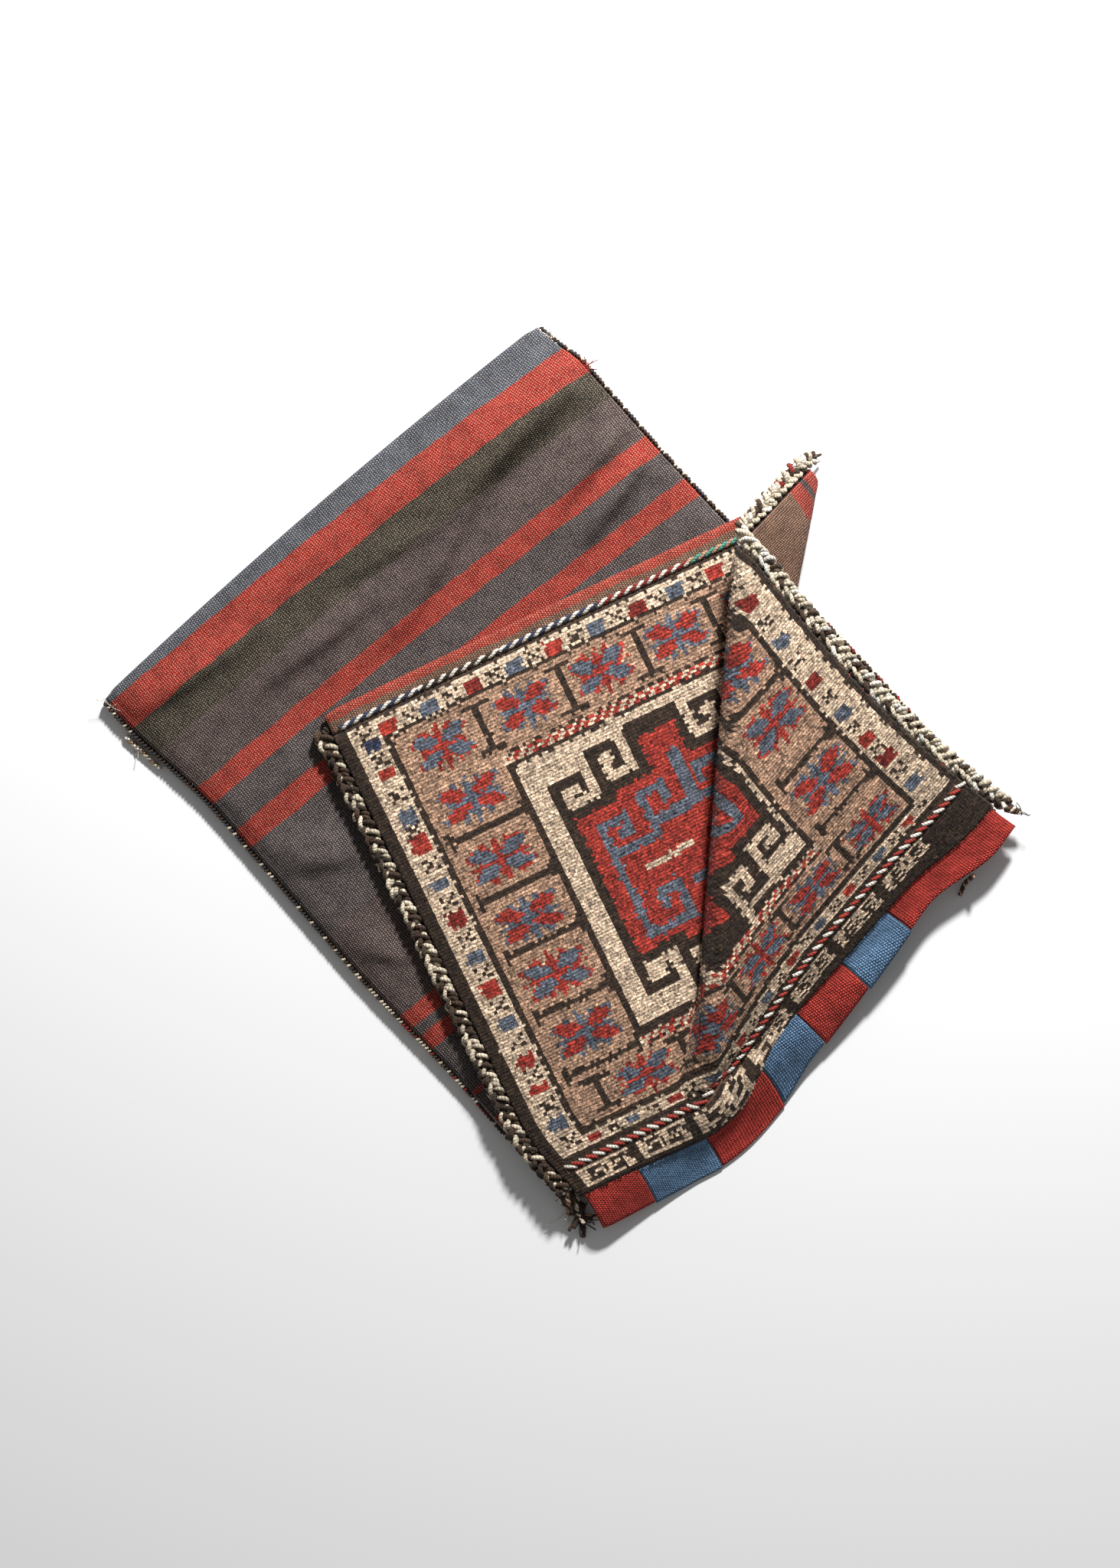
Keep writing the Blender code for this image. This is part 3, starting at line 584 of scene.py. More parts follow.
class Finish:
    """One material and its nodes."""

    def __init__(self, name, roughness=0.93, sheen=0.0):
        self.material = bpy.data.materials.new(name)
        self.material.use_nodes = True
        self.tree = self.material.node_tree
        self.shader = self.tree.nodes["Principled BSDF"]
        self.shader.inputs["Roughness"].default_value = roughness
        self.shader.inputs["Specular IOR Level"].default_value = 0.25
        self.shader.inputs["Sheen Weight"].default_value = sheen
        self.shader.inputs["Sheen Roughness"].default_value = 0.6

    def node(self, kind, settings=None, inputs=None, output=0):
        """Adds a node, sets its settings and then its sockets, and returns one output."""
        node = self.tree.nodes.new(kind)
        for key, setting in (settings or {}).items():
            setattr(node, key, setting)
        for key, given in (inputs or {}).items():
            if isinstance(given, Value):
                self.tree.links.new(given.socket, node.inputs[key])
            else:
                node.inputs[key].default_value = given
        return Value(self, node.outputs[output])

    def maths(self, operation, *operands):
        return self.node("ShaderNodeMath", {"operation": operation}, dict(enumerate(operands)))

    def wave(self, value):
        return self.maths("SINE", value)

    def noise(self, place, scale, detail=2.0, roughness=0.5):
        inputs = {"Vector": place, "Scale": scale, "Detail": detail, "Roughness": roughness}
        return self.node("ShaderNodeTexNoise", None, inputs)

    def grain(self, place, scale, contrast, detail=2.0, roughness=0.5):
        """Noise with its values spread out, from 0 to 1 with a mean of a half."""
        return self.clamped((self.noise(place, scale, detail, roughness) - 0.5) * contrast + 0.5)

    def tint(self, colour, factor):
        """A colour made darker or lighter by a number."""
        vector = self.node(
            "ShaderNodeCombineXYZ", None, {"X": factor, "Y": factor, "Z": factor}
        )
        return self.node(
            "ShaderNodeVectorMath", {"operation": "MULTIPLY"}, {0: colour, 1: vector}
        )

    def dye(self):
        """The colour that each face of the mesh carries."""
        return self.node("ShaderNodeAttribute", {"attribute_name": "dye"}, output="Color")

    def cloth_place(self):
        """The place on the cloth, in metres."""
        return self.node("ShaderNodeUVMap", {"uv_map": "cloth"})

    def clamped(self, value):
        settings = {"operation": "ADD", "use_clamp": True}
        return self.node("ShaderNodeMath", settings, {0: value, 1: 0.0})

    def blend(self, factor, first, second):
        inputs = {"Factor": factor, "A": first, "B": second}
        return self.node("ShaderNodeMix", {"data_type": "RGBA"}, inputs, output="Result")

    def done(self, colour, height, strength, depth):
        """Joins the colour and the bump to the shader."""
        bump = self.node(
            "ShaderNodeBump", None, {"Height": height, "Strength": strength, "Distance": depth}
        )
        self.tree.links.new(colour.socket, self.shader.inputs["Base Color"])
        self.tree.links.new(bump.socket, self.shader.inputs["Normal"])
        return self.material


def blended(value, low, high):
    """A value of 0 to 1 spread from low to high."""
    return value * (high - low) + low


# %% [markdown]
# ## Pile, flat weave and cord
#
# Knotted pile is a field of cut tufts: matt, a little fuzzy, each knot its own shade. The flat
# weave is weft-faced, so its surface is rows of small raised stitches, with pale flecks where the
# warp shows. Its colour is also painted darker between the stitches and lighter on their tops, and
# the pale flecks gather on the tops as painted glints. Cords are plied yarn with a fine slant,
# painted a little darker in the grooves of the twist. Real dye lots drift, so slow noise lightens
# and darkens all.

# %% Finish of the pile
pile = Finish("knotted_pile", roughness=0.95, sheen=0.12)
pile_place = pile.node("ShaderNodeTexCoord", output="Object")
pile_fibre = pile.grain(pile_place, 430.0, 3.6, 3.0, 0.75)
pile_drift = pile.grain(pile_place, 60.0, 2.0, 3.0, 0.6)
pile_shade = blended(pile_fibre, 0.22, 1.78) * blended(pile_drift, 0.80, 1.20)
pile_material = pile.done(pile.tint(pile.dye(), pile_shade), pile_fibre, 0.45, 0.0012)

# %% Finish of the flat weave
WEFT_RIB = 0.0023
WEFT_BEAT = 0.0019


def weave_height(finish, place):
    """Raised weft stitches, every second rib offset by half, and the place along the cloth."""
    parts = finish.tree.nodes.new("ShaderNodeSeparateXYZ")
    finish.tree.links.new(place.socket, parts.inputs[0])
    across, along = Value(finish, parts.outputs[0]), Value(finish, parts.outputs[1])
    rib = finish.wave(across * (math.pi / WEFT_RIB))
    side = rib > 0.0
    beat = finish.wave(along * (2 * math.pi / WEFT_BEAT) + side * math.pi)
    return finish.maths("ABSOLUTE", rib) * (beat * 0.42 + 0.58), along


def stripe_ramp(finish, along, start, end, stripes):
    """The dye bands along the strip: (where each ends, dye), from start to end."""
    node = finish.tree.nodes.new("ShaderNodeValToRGB")
    finish.tree.links.new(((along - start) / (end - start)).socket, node.inputs[0])
    ramp = node.color_ramp
    ramp.interpolation = "CONSTANT"
    edge = start
    for index, (stop, dye) in enumerate(stripes):
        spot = (edge - start) / (end - start)
        element = ramp.elements[0] if index == 0 else ramp.elements.new(spot)
        element.position = spot
        element.color = (*INK[dye], 1.0)
        edge = stop
    ramp.elements.remove(ramp.elements[-1])
    return Value(finish, node.outputs["Color"])


# Cloth taken up by the bridge fold and by a bottom fold
BRIDGE_RUN = 0.006
FOLD_RUN = 0.012
FOLD_AT = lower_length() + BRIDGE_RUN + BACK_MOUTH
BACK_STRIPES = (
    (0.021, "blue_grey"), (0.048, "kilim_red"), (0.080, "olive"), (0.127, "aubergine"),
    (0.148, "kilim_red"), (0.177, "charcoal"), (0.200, "kilim_red"), (0.300, "charcoal"),
    (0.397, "aubergine"), (0.415, "kilim_red"), (0.423, "charcoal"), (0.437, "kilim_red"),
    (0.489, "charcoal"), (0.496, "kilim_red"), (0.519, "charcoal"), (0.531, "kilim_red"),
    (0.700, "charcoal"), (0.716, "kilim_red"), (0.736, "charcoal"), (0.752, "kilim_red"),
    # The bands from 0.930 up to FOLD_AT - 0.010 (charcoal, red, brown, deep red, charcoal) show on
    # the pleat's upturned back: real stripes, with dyes chosen darker as painted shade because that
    # part lies in shadow.
    (0.930, "aubergine"), (FOLD_AT - 0.098, "charcoal"), (FOLD_AT - 0.090, "kilim_red"),
    (FOLD_AT - 0.034, "brown"), (FOLD_AT - 0.018, "deep_red"), (FOLD_AT - 0.010, "charcoal"),
    (FOLD_AT + 0.0125, "fold_red"), (1.250, "brown"),
)
BAND_START = -0.060
BAND_END = 1.25
kilim = Finish("flat_weave", roughness=0.94)
kilim_place = kilim.cloth_place()
kilim_weave, kilim_along = weave_height(kilim, kilim_place)
kilim_wander = kilim.noise(kilim_place, 30.0, 3.0, 0.6)
kilim_band = stripe_ramp(
    kilim,
    kilim_along + (kilim_wander - 0.5) * 0.006,
    BAND_START,
    BAND_END,
    ((-FOLD_RUN, "brown"),) + BACK_STRIPES,
)
kilim_grain = kilim.grain(kilim_place, 640.0, 3.0, 2.0, 0.7)
kilim_slub = kilim.grain(kilim_place, 55.0, 2.2, 4.0, 0.65)
# Painted shade and highlight: the weft stitches' relief darkens the colour between stitches and
# lightens their tops. Grain and slub are the yarn's own tone.
kilim_tone_and_painted_rib_shade = blended(kilim_weave, 0.25, 2.2) * blended(kilim_grain, 0.40, 1.60)
kilim_tone_and_painted_rib_shade = kilim_tone_and_painted_rib_shade * blended(kilim_slub, 0.62, 1.38)
# Pale flecks, partly the yarn's own and partly painted glints, since they gather on stitch tops.
kilim_fleck_and_painted_glint = kilim.noise(kilim_place, 800.0, 1.0, 0.5) + kilim_weave * 0.35 - 0.68
kilim_fleck_and_painted_glint = kilim.clamped(kilim_fleck_and_painted_glint * blended(kilim_slub, 4.0, 12.0))
kilim_colour = kilim.blend(
    kilim_fleck_and_painted_glint * 0.26, kilim.tint(kilim_band, kilim_tone_and_painted_rib_shade), (*INK["ivory"], 1.0)
)
kilim_height = kilim_weave + kilim_grain * 0.6 + kilim_slub * 1.5
kilim_material = kilim.done(kilim_colour, kilim_height, 0.35, 0.0010)

# %% Finish of the mouth strip
slit = Finish("slit_weave", roughness=0.9)
slit_place = slit.cloth_place()
slit_weave = weave_height(slit, slit_place)[0]
slit_fleck = slit.grain(slit_place, 600.0, 3.0, 2.0, 0.7)
slit_drift = slit.grain(slit_place, 45.0, 2.2, 3.0, 0.6)
# Painted shade and highlight: the colour follows the slit weave's relief, darker between stitches
# and lighter on top. Fleck and drift are the yarn's own tone.
slit_tone_and_painted_rib_shade = (
    blended(slit_weave, 0.45, 1.8) * blended(slit_fleck, 0.5, 1.5) * blended(slit_drift, 0.7, 1.3)
)
slit_material = slit.done(
    slit.tint(slit.dye(), slit_tone_and_painted_rib_shade), slit_weave + slit_drift * 3.0, 0.9, 0.0012
)

# %% Finish of the cords
cord = Finish("plied_cord", roughness=0.9, sheen=0.08)
cord_place = cord.node("ShaderNodeTexCoord", output="Object")
cord_uv = cord.cloth_place()
cord_parts = cord.tree.nodes.new("ShaderNodeSeparateXYZ")
cord.tree.links.new(cord_uv.socket, cord_parts.inputs[0])
cord_slant = cord.wave(
    Value(cord, cord_parts.outputs[0]) * (4 * math.pi) + Value(cord, cord_parts.outputs[1]) * 2600.0
)
cord_fibre = cord.grain(cord_place, 900.0, 2.6, 2.0, 0.6)
# Painted shade: the colour darkens in the grooves of the ply twist. The fibre noise is the yarn's
# own tone.
cord_tone_and_painted_twist_shade = blended(cord_slant, 0.86, 1.14) * blended(cord_fibre, 0.66, 1.34)
cord_height = cord_slant * 0.5 + cord_fibre
cord_material = cord.done(cord.tint(cord.dye(), cord_tone_and_painted_twist_shade), cord_height, 0.6, 0.0007)
print("finishes:", [m.name for m in bpy.data.materials])

# %% [markdown]
# ## The pile's pattern
#
# A weaver counts knots, so every outline is a staircase. The pattern is drawn the same way:
# shapes are tested at the middle of each knot, in millimetres across and down the face, and a
# later shape covers an earlier one. The motifs are traditional: a star border, a guard of squares
# and latch hooks.

# %% Drawing in knots


class Cartoon:
    """The dye of every knot of one pouch face. Shapes are given in millimetres."""

    def __init__(self, across, down):
        self.x, self.y = across, down
        self.dye = np.full(across.shape, ORDER.index("camel"))

    def paint(self, where, dye):
        self.dye[where] = ORDER.index(dye)

    def rect(self, x0, x1, y0, y1, dye):
        self.paint((self.x >= x0) & (self.x < x1) & (self.y >= y0) & (self.y < y1), dye)

    def ring(self, x0, x1, y0, y1, breadth, dye, inside):
        self.rect(x0, x1, y0, y1, dye)
        self.rect(x0 + breadth, x1 - breadth, y0 + breadth, y1 - breadth, inside)

    def line(self, points, breadth, dye):
        """A line of straight runs, all of them along or across the face."""
        half = breadth / 2
        for (x0, y0), (x1, y1) in zip(points[:-1], points[1:]):
            self.rect(
                min(x0, x1) - half, max(x0, x1) + half, min(y0, y1) - half, max(y0, y1) + half, dye
            )

    def star(self, x, y, edge, heart, wide, tall):
        """A star of four leaves and four horns, with the leaves' hearts in a second dye."""
        a, b = np.abs(self.x - x) * 31.0 / wide, np.abs(self.y - y) * 22.0 / tall
        u = (a - 14.5) * 0.966 + (b - 7.6) * 0.259
        v = (b - 7.6) * 0.966 - (a - 14.5) * 0.259
        leaf = (np.abs(u) / 17.5) ** 1.25 + (np.abs(v) / 8.4) ** 1.25 < 1.0
        spike = (a / 32.0 + b / 5.0 < 1.0) | (a / 8.5 + b / 23.5 < 1.0)
        horn = (np.abs(a - 12.0) / 4.6 + np.abs(b - 13.0) / 7.5) < 1.0
        self.paint(leaf | spike | horn, edge)
        core = (np.abs(u - 0.6) / 13.6) ** 1.5 + (np.abs(v - 0.2) / 6.2) ** 1.5 < 1.0
        self.paint(core & (a > 1.7) & (b > 1.3), heart)

    def crossed(self, x, y, wide=7.5, tall=6.0):
        """Dark knots in a diagonal cross, as between the squares of the guard."""
        a, b = np.abs(self.x - x) / wide, np.abs(self.y - y) / tall
        arms = (np.abs(a - b) < 0.28) & (a < 1.0) & (b < 1.0)
        self.paint(arms & ((a + b < 0.45) | (a + b > 0.75)), "dark")

    def bar(self, x, y, length, upright):
        """A bar with a foot at each end."""
        half = length / 2
        if upright:
            self.rect(x - 3.0, x + 3.0, y - half, y + half, "dark")
            for end in (y - half, y + half):
                self.rect(x - 13, x + 13, end - 2.1, end + 2.1, "dark")
        else:
            self.rect(x - half, x + half, y - 2.7, y + 2.7, "dark")
            for end in (x - half, x + half):
                self.rect(end - 2.6, end + 2.6, y - 8, y + 8, "dark")


# %% [markdown]
# The face measures 506 mm across, and the guard, the star border and the field lie inside each
# other. The loom let the right half beat up a little tighter, so rows climb slowly towards that
# side.

# %% The whole face
CLIMB = 0.042
SQUARES_LEFT = (
    (39, 10, "navy"), (68, 9, "pile_red"), (110, 14, "slate"), (137, 18, "pile_red"),
    (176, 9, "slate"), (210, 15, "deep_red"), (248, 11, "slate"), (279, 15, "pile_red"),
    (313, 12, "slate"), (350, 12, "pile_red"), (377, 8, "pile_red"), (412, 12, "slate"),
)
SQUARES_TOP = (
    (48, "pile_red"), (88, "slate"), (131, "deep_red"), (172, "slate"), (211, "pile_red"),
    (252, "slate"), (293, "deep_red"), (331, "slate"), (370, "pile_red"), (410, "slate"),
    (448, "pile_red"),
)
SQUARES_RIGHT = (
    (40, "slate"), (70, "pile_red"), (108, "slate"), (148, "deep_red"), (200, "slate"),
    (255, "deep_red"), (303, "slate"), (341, "pile_red"), (371, "deep_red"), (412, "slate"),
)


def draw_guard(face):
    face.rect(2, 504, 0, 447, "dark")
    face.rect(12, 499, 20, 443, "ivory")
    for y, tall, dye in SQUARES_LEFT:
        face.rect(20, 36, y - tall / 2, y + tall / 2, dye)
    for y, dye in SQUARES_RIGHT:
        face.rect(470, 486, y - 6.5, y + 6.5, dye)
    for x, dye in SQUARES_TOP:
        face.rect(x - 8, x + 8, 24, 36.5, dye)
        face.rect(x - 6, x + 7, 433, 440, "pile_red" if dye != "slate" else "slate")
        face.crossed(x + 20.5, 437, 6.0, 4.0)
    for squares, fixed in ((SQUARES_LEFT, 28), (SQUARES_RIGHT, 478), (SQUARES_TOP, 30)):
        for first, second in zip(squares[:-1], squares[1:]):
            between = (first[0] + second[0]) / 2
            place = (between, fixed) if squares is SQUARES_TOP else (fixed, between)
            face.crossed(*place)
    face.crossed(27, 29)
    face.crossed(28, 431)


def draw_border(face):
    face.ring(40, 466, 37.5, 430, 5.5, "dark", "camel")
    face.rect(40, 466, 37.5, 40.5, "dark")
    face.rect(45.5, 460.5, 40.5, 46, "camel")
    red_edge, blue_edge = ("pile_red", "slate"), ("slate", "pile_red")
    rows = (
        (((84, 66), (165, 66), (240, 66), (314, 67), (390, 66)), (red_edge, blue_edge), 28.0, 22.0),
        ([(87, y) for y in (119, 179, 237, 292, 349)], (blue_edge, red_edge), 31.0, 22.0),
        ([(424, y) for y in (122, 188, 253, 334)], (blue_edge, blue_edge, red_edge), 33.0, 26.0),
        ([(x, 405) for x in (119, 200, 277, 352, 428)], (red_edge, blue_edge), 29.0, 18.0),
    )
    for places, dyes, wide, tall in rows:
        for index, (x, y) in enumerate(places):
            face.star(x, y, *dyes[index % len(dyes)], wide, tall)
    for x in (124, 204, 279, 350):
        face.bar(x, 68, 42, upright=True)
    for y in (148, 207, 261, 320, 379):
        face.bar(89, y, 72, upright=False)
    for y in (155, 221, 304, 368):
        face.bar(424, y, 66, upright=False)
    for x in (75, 159, 238, 314, 392):
        face.bar(x, 404, 28, upright=True)


def draw_field(face):
    face.rect(127, 379, 97, 99.5, "dark")
    face.rect(127, 379, 99.5, 108, "ivory")
    face.rect(127, 379, 106.5, 374, "dark")
    face.rect(133, 373, 111.5, 366, "ivory")
    face.rect(127, 379, 374, 383, "ivory")
    face.rect(127, 379, 382.5, 385, "dark")
    for top, step in ((99.5, 7.0), (374.5, 8.0)):
        slant = np.floor((face.x + (face.y - top) * 1.0) / 5.0) % 2 == 0
        rows = (face.x >= 131) & (face.x < 375) & (face.y >= top) & (face.y < top + step)
        face.paint(rows & slant, "pile_red")
    middle_x, middle_y = 260.0, 243.0
    face.x, face.y = 260.0 - np.abs(face.x - middle_x), 243.0 - np.abs(face.y - middle_y)
    face.rect(151, 260, 140, 260, "dark")
    face.rect(193, 260, 126, 260, "dark")
    face.rect(233, 260, 120, 260, "dark")
    face.line([(188, 120), (188, 163.5), (164, 163.5), (164, 153), (173, 153)], 8.5, "ivory")
    face.line([(228, 112), (228, 155), (207.5, 155), (207.5, 139), (212, 139)], 9.0, "ivory")
    face.rect(161, 260, 177, 260, "pile_red")
    face.rect(204, 260, 169, 260, "pile_red")
    face.rect(242, 260, 136, 260, "pile_red")
    face.line([(178, 260), (178, 193.5), (201, 193.5), (201, 207), (194, 207)], 8.0, "slate")
    face.line([(186, 221), (222, 221), (222, 182.5), (242.5, 182.5), (242.5, 195)], 8.0, "slate")
    face.line([(226, 211), (255, 211)], 8.5, "slate")
    face.x, face.y = face.kept


def draw_middle(face):
    """What the field has on one side only: a bar at its middle and the arms of the blue line."""
    face.rect(247, 272, 164, 220, "pile_red")
    face.line([(226, 211), (265, 211), (265, 164)], 11.0, "slate")
    face.rect(199, 248, 241, 247, "ivory")
    face.rect(184, 232, 262, 306, "pile_red")
    lower_hook = [(178, 250), (178, 299), (219, 299), (219, 269), (202, 269), (202, 281)]
    face.line(lower_hook, 8.0, "slate")


def draw_end(face):
    """Past the guard: a slanting red and white line and the row of S hooks by the mouth."""
    face.rect(0, 506, 443, 500, "dark")
    face.rect(6, 500, 449, 455.5, "brown")
    for unit in range(7):
        left = 12 + 63.5 * unit
        face.rect(left, left + 53, 458, 474.5, "ivory")
        for part in range(2):
            x = left + 7 + 25 * part
            hook = [(15, 461.8), (4, 461.8), (4, 466.2), (12, 466.2), (12, 471.0), (0, 471.0)]
            face.line([(x + along, y) for along, y in hook], 2.6, "dark")
            face.rect(x + 18, x + 21, 463, 470, "dark")


def face_pattern(across, down):
    """The dye number of every knot, for points in metres across and down the face."""
    x = across * 1000
    y = down * 1000
    dip = 1000 * MOUTH_DIP * ease((across - 0.12) / 0.12) * ease((0.48 - across) / 0.08)
    y = y - dip * ease((down - 0.40) / 0.113)
    y = y * (1.0 + CLIMB * ease((x - 170.0) / 160.0) * ease((y - 60.0) / 200.0))
    face = Cartoon(x, y)
    face.kept = (x, y)
    draw_guard(face)
    draw_border(face)
    draw_field(face)
    draw_middle(face)
    draw_end(face)
    face.rect(-5, 4, 0, 500, "dark")
    face.rect(502, 512, 0, 500, "dark")
    return face.dye


# %% [markdown]
# ## Knotted pile as real relief
#
# A displaced plane would need millions of faces. One knot is instead four triangles that rise to
# a middle point, so the nap catches the light and still costs little. Every knot gets its own
# height, lean and shade, because hand-spun wool takes dye unevenly and the nap has worn. On top of
# that, each knot's colour is painted darker at its base corners, as shade in the grooves between
# knots, and lighter at its tip, as a painted highlight.

# %% Knots
PILE_END = POUCH_LENGTH - MOUTH_STRIP
PILE_LAP = 0.004
KNOT_GROOVE = 0.0011
KNOT_RISE = 0.0006
# Painted shade in the grooves: the base corners of each knot are darkened, more between rows than
# between columns. Painted highlight: the tip of each knot is brightened.
ROW_GROOVE_PAINTED_SHADE = 0.42
SIDE_GROOVE_PAINTED_SHADE = 0.82
TIP_PAINTED_HIGHLIGHT = 1.25


def knotted_face(name, surface, across, down):
    """One pouch's pile face: across by down knots on the surface that gives its two sides."""
    p_edges = np.linspace(0.0, WIDTH, across + 1)
    q_edges = np.linspace(PLAIN_BAND, PILE_END + PILE_LAP, down + 1)
    rows = [surface(p_edges, q) for q in q_edges]
    top, wrong = (np.array([row[layer] for row in rows]) for layer in (0, 1))
    out = unit(top - wrong)
    ragged = rng.normal(0.0, 0.00022, top.shape[:2] + (1,))
    corners = top - out * KNOT_GROOVE + out * ragged
    corners[..., :2] += rng.normal(0.0, 0.00022, top.shape[:2] + (2,))
    middle = (top[:-1, :-1] + top[1:, :-1] + top[:-1, 1:] + top[1:, 1:]) / 4
    outs = unit(out[:-1, :-1] + out[1:, 1:])
    middle = middle + outs * (KNOT_RISE + rng.normal(0.0, 0.0003, middle.shape[:2] + (1,)))
    lean = top[1:, :-1] - top[:-1, :-1]
    middle = middle + lean * rng.normal(0.12, 0.08, middle.shape[:2] + (1,))
    rows, columns = corners.shape[:2]
    count = rows * columns
    points = np.concatenate([corners.reshape(-1, 3), wrong.reshape(-1, 3), middle.reshape(-1, 3)])
    quads = grid_faces(rows, columns)
    tips = 2 * count + np.arange(len(quads))
    fans = np.concatenate(
        [np.stack([quads[:, k], quads[:, (k + 1) % 4], tips], -1) for k in range(4)]
    )
    p_mid, q_mid = np.meshgrid(
        (p_edges[1:] + p_edges[:-1]) / 2, (q_edges[1:] + q_edges[:-1]) / 2
    )
    p_mid = p_mid + rng.normal(0.0, 0.0006, (rows - 1, 1))
    q_mid = q_mid + rng.normal(0.0, 0.0005, (1, columns - 1))
    dye = PALETTE[face_pattern(p_mid, q_mid)].reshape(-1, 3)
    shade = np.clip(rng.normal(1.0, 0.25, (len(dye), 1)), 0.4, 1.7)
    row_shade = np.repeat(rng.normal(1.0, 0.07, (rows - 1, 1)), columns - 1, axis=0)
    dye = dye * shade * row_shade
    wrong_faces = grid_faces(rows, columns, count, flip=True)
    rim = rim_faces(rows, columns, count)
    fan_dye = np.concatenate([dye] * 4)
    # A knot's base corners take the painted groove shade and its tip the painted highlight.
    painted_groove_shade = np.repeat([SIDE_GROOVE_PAINTED_SHADE, ROW_GROOVE_PAINTED_SHADE] * 2, len(dye))[:, None]
    first = painted_groove_shade * rng.uniform(0.7, 1.3, painted_groove_shade.shape)
    second = painted_groove_shade * rng.uniform(0.7, 1.3, painted_groove_shade.shape)
    fan_corners = np.stack([fan_dye * first, fan_dye * second, fan_dye * TIP_PAINTED_HIGHLIGHT], 1)
    rest = np.concatenate([dye * 0.8, np.tile(INK["dark"], (len(rim), 1))])
    colours = np.concatenate([fan_corners.reshape(-1, 3), np.repeat(rest, 4, axis=0)])
    faces = fans.tolist() + wrong_faces.tolist() + rim.tolist()
    print(name, len(dye), "knots")
    return new_piece(name, points, faces, colours, np.zeros((len(points), 2)), pile_material)


upper_pile = knotted_face("upper_pile_face", upper_face_row, 168, 158)
lower_pile = knotted_face("lower_pile_face", lower_face_row, 126, 114)

# %% [markdown]
# ## The striped flat weave
#
# Everything but the pile is one flat-woven web: the lower pouch's back, the bridge, the upper
# pouch's back and the plain band at each bottom fold. It is laid here row after row, in the order
# in which it left the loom, and turns over at each fold in a half circle. The lower bag was sewn
# up a little askew, so its stripes run at a slight angle to the fold.

# %% The web
CLOTH_STEP = 0.004
STRIPE_SKEW = 0.0165
# Wrinkles, each steeper on its far side: height, distance from the fold, half-breadth, middle in X,
# reach in X, slant
WRINKLES = (
    (0.0190, 0.064, 0.019, 0.160, 0.090, -0.10),
    (0.0100, 0.034, 0.013, -0.195, 0.060, 0.15),
    (0.0120, 0.122, 0.012, 0.212, 0.050, -0.22),
    (0.0110, 0.160, 0.011, 0.200, 0.055, -0.27),
    (0.0120, 0.108, 0.015, 0.030, 0.080, -0.35),
    (0.0095, 0.088, 0.014, -0.085, 0.070, 0.08),
    (0.0075, 0.142, 0.013, -0.130, 0.055, -0.30),
    (0.0080, 0.235, 0.018, -0.208, 0.045, 0.60),
    (0.0065, 0.330, 0.017, -0.226, 0.040, 0.90),
    (0.0060, 0.070, 0.011, 0.020, 0.060, 0.20),
)
FAR_SIDE, NEAR_SIDE = 0.62, 1.5
WRINKLE_FADE = 0.030
UPPER_POUCH_CORNER = (-0.1274, 0.1385)
UPPER_POUCH_SLOPE = 0.27


def wrinkle_height(x, distance):
    """How far soft wrinkles lift the lower back where the upper pouch doesn't cover it."""
    height = 0.0 * x
    for lift, down, breadth, middle, reach, slant in WRINKLES:
        crest = distance - down - slant * (x - middle)
        crest = np.where(crest > 0, crest / FAR_SIDE, crest / NEAR_SIDE)
        height = height + lift * np.exp(-((crest / breadth) ** 2) - ((x - middle) / reach) ** 2)
    corner_x, corner_down = UPPER_POUCH_CORNER
    above = corner_down + UPPER_POUCH_SLOPE * (x - corner_x) - 0.016 - distance
    beside = corner_x - UPPER_POUCH_SLOPE * (distance - corner_down) - 0.02 - x
    bare = np.maximum(ease(above / WRINKLE_FADE), ease(beside / WRINKLE_FADE))
    return height * bare * ease((WIDTH / 2 - np.abs(x)) / WRINKLE_FADE)


def web_rows():
    """Rows of the web: their distance along it, their right side and their wrong side."""
    p = np.linspace(0.0, WIDTH, int(WIDTH / CLOTH_STEP) + 1)
    turns = np.linspace(-1.0, 1.0, 14)[1:-1]
    rows = []
    for d in np.linspace(PLAIN_BAND, 0.0, 6):
        rows.append((-FOLD_RUN - d, *lower_face_row(p, d)))
    for turn in turns:
        rows.append((FOLD_RUN / 2 * (turn - 1), *lower_fold_row(p, turn)))
    length = lower_length()
    for d in np.linspace(0.0, length, int(length / CLOTH_STEP) + 1):
        outer, inner = lower_back_row(p, d)
        lifted = np.zeros_like(outer)
        lifted[:, 2] = wrinkle_height(p - WIDTH / 2, d)
        rows.append((d, outer + lifted, inner + lifted))
    for turn in turns[::2]:
        rows.append((length + BRIDGE_RUN / 2 * (1 + turn), *bridge_fold_row(p, turn)))
    start = length + BRIDGE_RUN
    for d in np.linspace(0.0, BACK_MOUTH, int(BACK_MOUTH / CLOTH_STEP) + 1):
        rows.append((start + d, *upper_back_row(p, BACK_MOUTH - d)))
    start += BACK_MOUTH
    for turn in turns:
        rows.append((start + FOLD_RUN / 2 * (1 + turn), *upper_fold_row(p, turn)))
    start += FOLD_RUN
    for d in np.linspace(0.0, PLAIN_BAND, 6):
        rows.append((start + d, *upper_face_row(p, d)))
    return p, rows


web_p, web = web_rows()
web_skew = STRIPE_SKEW * (0.42 - web_p) / 0.36
web_uv = np.array(
    [np.stack([web_p, row[0] + web_skew * ease((0.70 - row[0]) / 0.20)], -1) for row in web]
)
web_outer = np.array([row[1] for row in web])
web_inner = np.array([row[2] for row in web])
kilim_web = sheet_piece("kilim_web", web_outer, web_inner, web_uv, kilim_material)
print("web rows", len(web), "length", round(web[-1][0] - web[0][0], 3))

# %% [markdown]
# ## The mouth strip
#
# The mouth ends in seven blocks of slit weave, red and blue in turn, through which the closing
# loops once ran. Neighbouring blocks aren't joined, so each is its own small sheet with a slit
# beside it.

